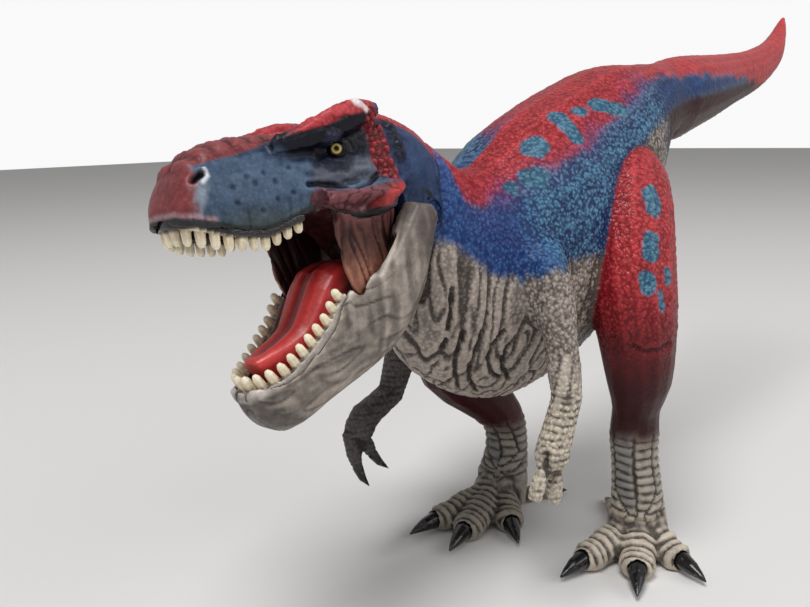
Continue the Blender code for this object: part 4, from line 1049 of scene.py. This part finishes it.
# %% Paint the worn places and the lip
BROW_TIP = [(13.6, -12, 17.6), (13.9, -10.4, 17.2), (14.1, -9.8, 16.7)]
MOUTH_CORNER = [(15.3, -3.9, 2.5), (16.2, -7.4, 2.0), (15.5, -9.6, 0.2)]
WORN_PATCH = [(7, -40.2, 6.6), (7.1, -41.2, 4.3), (6.9, -41.9, 2)]
head.paint(head.near(BROW_TIP, 1.1, 0.6), *WORN_WHITE)
head.paint(head.near(MOUTH_CORNER, 1.5, 0.7), *FLESH_RED, 0.85)
head.paint(head.near([(14.5, -12.1, -0.6)], 1.0), *WORN_PINK, 0.8)
head.paint(head.near(WORN_PATCH, 1.5, 0.8) * (0.6 + 0.5 * cloud(Q, 1.1, 82)), *WORN_BLUE)
head.paint(head.near(NOSTRIL_RIM, 0.6), *RIM_WHITE, 0.9)
head.paint(head.near(NOSTRIL, 1.0, 0.6), *NOSTRIL_DARK)
over_lip = [(x, y, z + 1.1) for x, y, z in LIP[:4]]
head.paint(head.near(over_lip, 0.9, 0.7), *LIP_PINK, 0.9)
print("worn places painted")

# %% Paint the muscle and the mouth's edge
PALATE_EDGE = [(-44, 3), (-40, 8), (-30, 9), (-20, 10)]
head.paint(muscle, *MUSCLE)
head.paint(muscle * (1 - pull), *MUSCLE_WASH, 0.8)
head.paint(muscle * (1 - rise_over(Qz, -13.5, -7)), *SINEW, 0.85)
# The muscle's inner faces, inside the mouth, are painted nearly black: painted shade.
head.paint(muscle * rise_over(-outward, 0.0, 0.5), *MUSCLE_INSIDE_SHADE)
head.paint(muscle * (1 - rise_over(Qz, -17, -14.5)), *THROAT_GREY, 0.95)
head.paint(muscle * rise_over(Qz, -5, -1) * (outward > 0.2), *MUSCLE_TOP, 0.8)
# The flesh's faces that look down are painted darker: painted shade.
head.paint(rise_over(-facing[:, 2], 0.4, 0.8) * flesh * (1 - muscle), *FLESH_UNDERSIDE_SHADE, 0.8)
# Faces looking down under the snout are painted near black: partly the dark lip and gum paint, partly
# painted shade.
underside = rise_over(-facing[:, 2], 0.35, 0.7) * (1 - muscle) * (1 - flesh) * (1 - rise_over(Qz, 1, 3))
head.paint(underside, *GUM_AND_UNDERSIDE_SHADE, 0.95)
head.paint(underside * (1 - rise_over(Qx - 0.75 * outline(Qy, PALATE_EDGE), -0.6, 0.2)), *PALATE)
head.paint(head.near(LIP, 1.1, 0.4), *LIP_DARK)
head.grain = np.clip(0.3 + 0.4 * top_red * rise_over(Qy, -28, -23) + 0.4 * band - 0.2 * muscle, 0.1, 1)
head.shine = 0.1 + 0.3 * band - 0.1 * top_red - 0.3 * muscle
head.finish()
head.piece.data.materials.append(head_paint)
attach(head.piece, "figure")
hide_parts(*HEAD_NODES)

# %% [markdown]
# ## Lower jaw
# The jaw is one grey moulding with wrinkles along its rim and a broad smooth plate at
# the rear, which is dry-brushed with upright strokes of pale grey.

# %% Sculpt the jaw
RIM_HEIGHT = [
    (-43, -2), (-40, -2.1), (-34, -2.4), (-28, -1.6), (-22, 0.8), (-17, 0.9), (-12, 0.7), (-8, 1.5),
]
TOOTH_ROW = [(-42, 0.5), (-39.6, 4.9), (-37, 6.3), (-32, 7.3), (-26.5, 8.3), (-20.4, 9.1)]
jaw = Clay(clay_of("jaw_skin", ["lower_jaw"], 0.34, soften=4), in_frame(JAW))
J = jaw.local
Jx, Jy, Jz = J.T
plate = rise_over(Jy, -19, -11)
wander = 0.8 * cloud(J, 5.0, 91)
lengthwise = np.stack([Jx, Jy * 0.2 + 0.2 * Jz, Jz + 0.3 * Jy + wander], 1)
wrinkles = folds(lengthwise, 2.6, 92, 6)
jaw.lift((1 - plate) * (wrinkles - 1), 0.16)
jaw.lift((1 - plate) * cloud(J, 3.4, 94), 0.12)
rim_height = outline(Jy, RIM_HEIGHT)
below_rim = rim_height - Jz
beside_row = Jx - outline(Jy, TOOTH_ROW)
outer_lip = np.clip(rise_over(beside_row, 0.9, 1.3) + rise_over(-Jy, 41.9, 42.4), 0, 1)
rim = outer_lip * (1 - rise_over(below_rim, 0.4, 1.7)) * (1 - plate)
jaw.lift(rim, 0.35)
print("jaw points:", len(J))

# %% Paint the jaw
JAW_STONE = (88, 80, 74), (150, 140, 131)
JAW_BRUSHED = (124, 112, 103), (186, 174, 163)
JAW_WASH = (54, 48, 44), (98, 89, 82)
WRINKLE_WASH = (46, 40, 37), (88, 80, 74)
RIM_PALE = (150, 140, 132), (214, 206, 198)
WORN_EDGE = (170, 156, 146), (222, 210, 200)
DULL_EDGE = (150, 136, 128), (206, 194, 184)
HINGE_SHADE_PAINT = (46, 36, 35), (92, 78, 75)
CHIN_DARK = (46, 44, 42), (94, 88, 84)
MOUTH_FLOOR = (58, 14, 18), (96, 30, 34)
GUM_LINE = (20, 15, 15), (36, 28, 28)
PLATE_EDGE = [(11.9, -15.5, -3.6), (13.4, -14.4, -1.2), (14, -9.2, 0.8), (13.6, -4.3, 2.9), (12.5, 1.9, 3.9)]

fore_and_aft = cloud(lengthwise * (1, 1, 1.6), 1.1, 96)
hanging = cloud(jaw.world * (1, 1, 0.12), 1.0, 95)
rearward = rise_over(Jy, -28, -20)
streak = hanging * rearward + fore_and_aft * (1 - rearward)
jaw.coat(*JAW_STONE)
jaw.paint(rise_over(streak, 0.0, 0.5) * 0.7, *JAW_BRUSHED)
jaw.paint(rise_over(-streak, 0.05, 0.5) * 0.6, *JAW_WASH)
jaw.paint((1 - plate) * (1 - wrinkles) ** 2, *WRINKLE_WASH, 0.45)
jaw.paint(rim * (0.6 + 0.4 * cloud(J, 1.4, 97)), *RIM_PALE, 0.75)
jaw.paint(jaw.near(PLATE_EDGE, 0.8), *WORN_EDGE, 0.7)
# The plate is painted darker round the hinge: painted shade.
jaw.paint(1 - rise_over(np.hypot(Jy, Jz), 2.0, 10.0), *HINGE_SHADE_PAINT, 0.75)
jaw.paint(jaw.near(PLATE_EDGE, 0.8), *DULL_EDGE, 0.4)
jaw.paint(1 - rise_over(Jy + 0.5 * Jz, -46.5, -42.5), *CHIN_DARK, 0.7)
trough = (1 - outer_lip) * rise_over(Jz, rim_height - 11, rim_height - 9) * rise_over(Jy, -43.2, -42)
trough = trough * (1 - plate) * (1 - rise_over(-(jaw.normal @ JAW_TURN)[:, 2], 0.2, 0.5))
jaw.paint(trough * (1 - rise_over(Jx, 7.5, 9.5) * rise_over(below_rim, 1.5, 3)), *MOUTH_FLOOR)
gum_line = (1 - rise_over(np.abs(beside_row - 0.9), 0.1, 0.5)) * (1 - rise_over(below_rim, 0.4, 1.4))
jaw.paint(gum_line * (1 - plate), *GUM_LINE)
jaw.grain[:] = 0.12
jaw.shine = 0.1 + 0.7 * rim
jaw.finish()
jaw.piece.data.materials.append(jaw_paint)
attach(jaw.piece, "jaw")
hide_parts("lower_jaw")

# %% [markdown]
# ## Teeth
# Each row is one moulding: blunt ivory teeth on a dark gum. The copy of each row is
# remeshed very finely, and its paint goes by the height over the gum.

# %% Teeth rows
IVORY = (186, 164, 130), (236, 224, 196)
TOOTH_TIP = (210, 196, 166), (244, 236, 214)
GUM = (38, 18, 18), (66, 38, 36)
OUTER_GUM = {"lower": ((104, 95, 89), (188, 178, 169)), "upper": ((22, 20, 22), (48, 42, 44))}
ROW_MIDDLE = -30
ROWS = [
    ("lower", "lower_teeth", JAW, JAW_TURN, 1, "jaw"),
    ("upper", "upper_teeth", HEAD, HEAD_TURN, -1, "figure"),
]
for row, node_name, matrix, turn, sign, rider in ROWS:
    teeth = Clay(clay_of(row + "_teeth_skin", [node_name], 0.19, swell=0.0, soften=3), in_frame(matrix))
    T = teeth.local
    height = sign * T[:, 2]
    bins = np.round(T[:, 1]).astype(int)
    base = {b: height[bins == b].min() for b in set(bins.tolist())}
    over = height - np.array([base[b] for b in bins])
    gum = 1 - rise_over(over, 1.5, 2.3)
    looks = teeth.normal @ turn
    outwards = T[:, :2] - (0, ROW_MIDDLE)
    outwards /= np.linalg.norm(outwards, axis=1)[:, None]
    outer = gum * rise_over(abs(looks[:, 0]) * outwards[:, 0] + looks[:, 1] * outwards[:, 1], 0.1, 0.45)
    teeth.coat(*IVORY)
    teeth.paint(rise_over(over, 3.2, 4.6), *TOOTH_TIP, 0.7)
    teeth.paint(gum, *GUM)
    teeth.paint(outer, *OUTER_GUM[row])
    teeth.grain[:] = 0.2
    teeth.shine = 0.3 + 0.5 * outer
    teeth.finish()
    teeth.piece.data.materials.append(tooth_paint)
    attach(teeth.piece, rider)
    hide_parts(node_name)

# %% [markdown]
# ## Tongue and mouth
# The tongue is glossy red with a groove down its middle and a lifted tip. Its root is
# grey like the throat. The roof and the walls of the mouth are nearly black, with
# faint folds across.

# %% Tongue
TONGUE_RED = (158, 22, 28), (200, 54, 50)
TONGUE_GROOVE = (92, 8, 16), (124, 16, 24)
TONGUE_BACK_SHADE = (44, 4, 8), (72, 8, 14)
TONGUE_ROOT = (44, 38, 36), (84, 76, 71)
TIP_LIFT = JAW_TURN @ (0, -2.2, 1.6)
tongue = Clay(clay_of("tongue_skin", ["tongue"], 0.36, swell=0.0, soften=5), in_frame(JAW))
G = tongue.local
top_side = rise_over(tongue.normal @ JAW_TURN[:, 2], 0.0, 0.5)
behind_tip = 1 - rise_over(-G[:, 1], 33, 36)
tongue.lift(top_side * (1 - rise_over(G[:, 0], 0.2, 2.0)) * behind_tip, -0.7)
tongue.shift += rise_over(-G[:, 1], 27, 36)[:, None] * TIP_LIFT
tongue.coat(*TONGUE_RED)
tongue.paint(top_side * (1 - rise_over(G[:, 0], 0.1, 1.2)) * behind_tip, *TONGUE_GROOVE, 0.8)
# The tongue's rear is painted darker towards the throat: painted shade.
tongue.paint(rise_over(G[:, 1], -17, -7), *TONGUE_BACK_SHADE, 0.9)
tongue.paint((1 - top_side) * rise_over(G[:, 1], -22, -14), *TONGUE_ROOT)
tongue.grain[:] = 0.25
tongue.finish()
tongue.piece.data.materials.append(tongue_paint)
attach(tongue.piece, "jaw")
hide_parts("tongue")

# %% Mouth lining
MOUTH_DARK = (34, 8, 12), (66, 20, 24)
lining = Clay(clay_of("mouth_skin", ["mouth_lining"], 0.42, swell=0.0, soften=3), in_frame(HEAD))
lining.lift(folds(lining.local * (0.2, 1, 0.6), 2.2, 97) - 1, 0.25)
lining.coat(*MOUTH_DARK)
lining.grain[:] = 0.4
lining.shine[:] = 0.2
lining.finish()
lining.piece.data.materials.append(tongue_paint)
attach(lining.piece, "figure")
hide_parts("mouth_lining")

# %% [markdown]
# ## Eyes
# Each eye is a small glossy ball: a yellow iris with a round black pupil that looks
# forward and out. The ball is turned so that its pole is the pupil, and the colour
# goes by the angle from that pole.

# %% Eyes
EYE_LOOK = (0.8, -0.58, 0.12)
EYE_SUNK_BY = 0.0001
IRIS = [
    (0.0, (6, 5, 5)), (0.12, (6, 5, 5)), (0.15, (134, 108, 46)), (0.25, (198, 184, 116)),
    (0.33, (104, 84, 40)), (0.37, (10, 9, 14)),
]


def eye_ball(name, solid, look):
    low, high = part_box(solid)
    radius = max(high - low) / 2 * 0.93
    centre = (low + high) / 2 - look * EYE_SUNK_BY
    bpy.ops.object.select_all(action="DESELECT")
    bpy.ops.mesh.primitive_uv_sphere_add(segments=48, ring_count=32, radius=radius, location=centre)
    ball = bpy.context.view_layer.objects.active
    ball.name = name
    ball.rotation_euler = look.to_track_quat("Z", "Y").to_euler()
    bpy.ops.object.transform_apply(location=True, rotation=True, scale=True)
    places = np.array([v.co for v in ball.data.vertices]) - np.array(centre)
    angle = np.degrees(np.arccos(np.clip(places @ np.array(look) / radius, -1, 1)))
    ring = ball.data.attributes.new("from_pupil", "FLOAT", "POINT")
    ring.data.foreach_set("value", angle)
    bpy.ops.object.shade_smooth()
    return ball


def eye_material():
    """Colours by the angle from the pupil, where 1 is a quarter turn."""
    material, tree, shader = new_material("painted_eye")
    ramp = tree.nodes.new("ShaderNodeValToRGB")
    tree.links.new(math_node(tree, "DIVIDE", attribute(tree, "from_pupil"), 90.0), ramp.inputs[0])
    stops = ramp.color_ramp.elements
    for stop, (position, colour) in zip((stops[0], stops[1]), (IRIS[0], IRIS[-1])):
        stop.position = position
        stop.color = (*tone(*colour), 1)
    for position, colour in IRIS[1:-1]:
        stops.new(position).color = (*tone(*colour), 1)
    tree.links.new(ramp.outputs[0], shader.inputs["Base Color"])
    shader.inputs["Roughness"].default_value = 0.05
    shader.inputs["Specular IOR Level"].default_value = 0.15
    return material


eye_paint = eye_material()
for side, sign in (("left", 1), ("right", -1)):
    look = (HEAD.to_3x3() @ Vector((sign * EYE_LOOK[0], *EYE_LOOK[1:]))).normalized()
    eye = eye_ball("eye_" + side + "_ball", "eye_" + side, look)
    eye.data.materials.append(eye_paint)
    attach(eye, "figure")
    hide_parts("eye_" + side)
print("eyes painted")

# %% [markdown]
# ## Claws
# The claws are glossy black horn shapes with a worn paler edge where the paint has
# been knocked off. Each is softened from its solid, which keeps its place in the toe.

# %% Claws
HORN_BLACK = (0.006, 0.006, 0.007, 1)
HORN_WORN = (0.09, 0.08, 0.07, 1)


def claw_material():
    material, tree, shader = new_material("painted_claw")
    place = tree.nodes.new("ShaderNodeTexCoord").outputs["Object"]
    wear = noise(tree, place, 700.0, 4.0)
    colour = mix_colour(tree, spread(tree, wear, 0.6, 0.74), HORN_BLACK, HORN_WORN)
    tree.links.new(colour, shader.inputs["Base Color"])
    tree.links.new(spread(tree, wear, start=0.12, end=0.34), shader.inputs["Roughness"])
    bump = node(tree, "ShaderNodeBump", Height=wear, Strength=0.2, Distance=0.1 * MM)
    tree.links.new(bump.outputs[0], shader.inputs["Normal"])
    return material


claw_paint = claw_material()
claws = [name for name in solids if "_claw_" in name]
for name in claws:
    claw = clay_of(name + "_horn", [name], 0.3, swell=0.0, soften=3)
    use(claw)
    bpy.ops.object.shade_smooth()
    claw.data.materials.append(claw_paint)
    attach(claw, "figure")
    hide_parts(name)
print("claws:", len(claws))

# %% [markdown]
# ## Jaw pin
# The pin is a short steel rod deep in the throat. Its solid is right as it is, so it
# only gets a better finish: drawn wire with fine scratches along it.

# %% Pin finish
def wire_material():
    material, tree, shader = new_material("drawn_wire")
    place = tree.nodes.new("ShaderNodeTexCoord").outputs["Object"]
    drawn = node(tree, "ShaderNodeMapping", Vector=place, Scale=(0.1, 1, 1))
    scratches = noise(tree, drawn.outputs[0], 4000.0, 2.0)
    tree.links.new(spread(tree, scratches, start=0.2, end=0.45), shader.inputs["Roughness"])
    shader.inputs["Base Color"].default_value = (0.5, 0.5, 0.51, 1)
    shader.inputs["Metallic"].default_value = 1
    return material


solids["jaw_pin"].data.materials.clear()
solids["jaw_pin"].data.materials.append(wire_material())
print("pin finished")

# %% [markdown]
# ## Studio
# The floor is plain and pale, and the light soft, as in a photographer's tent: one
# large lamp high in front, a weak one from its left, a faint low one and a pale sky.

# %% Floor
bpy.ops.object.select_all(action="DESELECT")
bpy.ops.mesh.primitive_plane_add(size=6, location=(0, 0, 0))
floor = bpy.context.view_layer.objects.active
floor.name = "studio_floor"
floor_material, tree, shader = new_material("studio_floor")
shader.inputs["Base Color"].default_value = (0.72, 0.71, 0.7, 1)
shader.inputs["Roughness"].default_value = 0.9
floor.data.materials.append(floor_material)
print("floor laid")

# %% Lamps and sky
SKY_LIGHT, SKY_SEEN, SKY_IN_GLOSS = 0.32, 0.95, 0.2


def lamp(name, place, target, size, watts):
    data = bpy.data.lights.new(name, "AREA")
    data.shape = "DISK"
    data.size = size
    data.energy = watts
    made = bpy.data.objects.new(name, data)
    made.location = place
    made.rotation_euler = (Vector(target) - Vector(place)).to_track_quat("-Z", "Y").to_euler()
    bpy.context.scene.collection.objects.link(made)


lamp("key", place=(0.2, -0.5, 1.2), target=(0, 0, 0.06), size=0.6, watts=11.5)
lamp("fill", place=(0.9, 0.4, 0.7), target=(0, 0, 0.06), size=0.9, watts=4.0)
lamp("low", place=(0.7, -0.6, 0.15), target=(0, -0.05, 0.06), size=0.6, watts=0.5)

world = bpy.data.worlds.new("studio")
bpy.context.scene.world = world
world.use_nodes = True
tree = world.node_tree
sky = tree.nodes["Background"]
sky.inputs["Color"].default_value = (1, 1, 1, 1)
rays = tree.nodes.new("ShaderNodeLightPath").outputs
seen = math_node(tree, "MAXIMUM", rays["Is Camera Ray"], rays["Is Transmission Ray"])
seen = math_node(tree, "MAXIMUM", seen, math_node(tree, "MULTIPLY", rays["Is Glossy Ray"], SKY_IN_GLOSS))
tree.links.new(spread(tree, seen, start=SKY_LIGHT, end=SKY_SEEN), sky.inputs["Strength"])
print("three lamps and a sky")

# %% [markdown]
# ## Camera
# The photo was taken from close by, so its perspective is strong. The camera stands
# where the photographer's did, a little above the head and off its left side.

# %% Camera
AZIMUTH, PITCH, ROLL = math.radians(46), math.radians(12.3), math.radians(-1.5)
PHOTO_WIDTH, FOCAL_LENGTH = 810, 800
SENSOR_WIDTH = 36
ahead = Vector((-math.sin(AZIMUTH) * math.cos(PITCH), math.cos(AZIMUTH) * math.cos(PITCH), -math.sin(PITCH)))
level = Vector((math.cos(AZIMUTH), math.sin(AZIMUTH), 0))
overhead = level.cross(ahead)
right = math.cos(ROLL) * level + math.sin(ROLL) * overhead
above = -math.sin(ROLL) * level + math.cos(ROLL) * overhead
lens = bpy.data.cameras.new("camera")
lens.sensor_width = SENSOR_WIDTH
lens.lens = FOCAL_LENGTH / PHOTO_WIDTH * SENSOR_WIDTH
lens.clip_start = 0.005
camera = bpy.data.objects.new("camera", lens)
stand = Matrix.Translation((0.11346, -0.20208, 0.1074))
camera.matrix_world = stand @ Matrix((right, above, -ahead)).transposed().to_4x4()
bpy.context.scene.collection.objects.link(camera)
bpy.context.scene.camera = camera
bpy.context.scene.view_settings.view_transform = "Standard"
print("camera at", [round(v, 3) for v in camera.location])
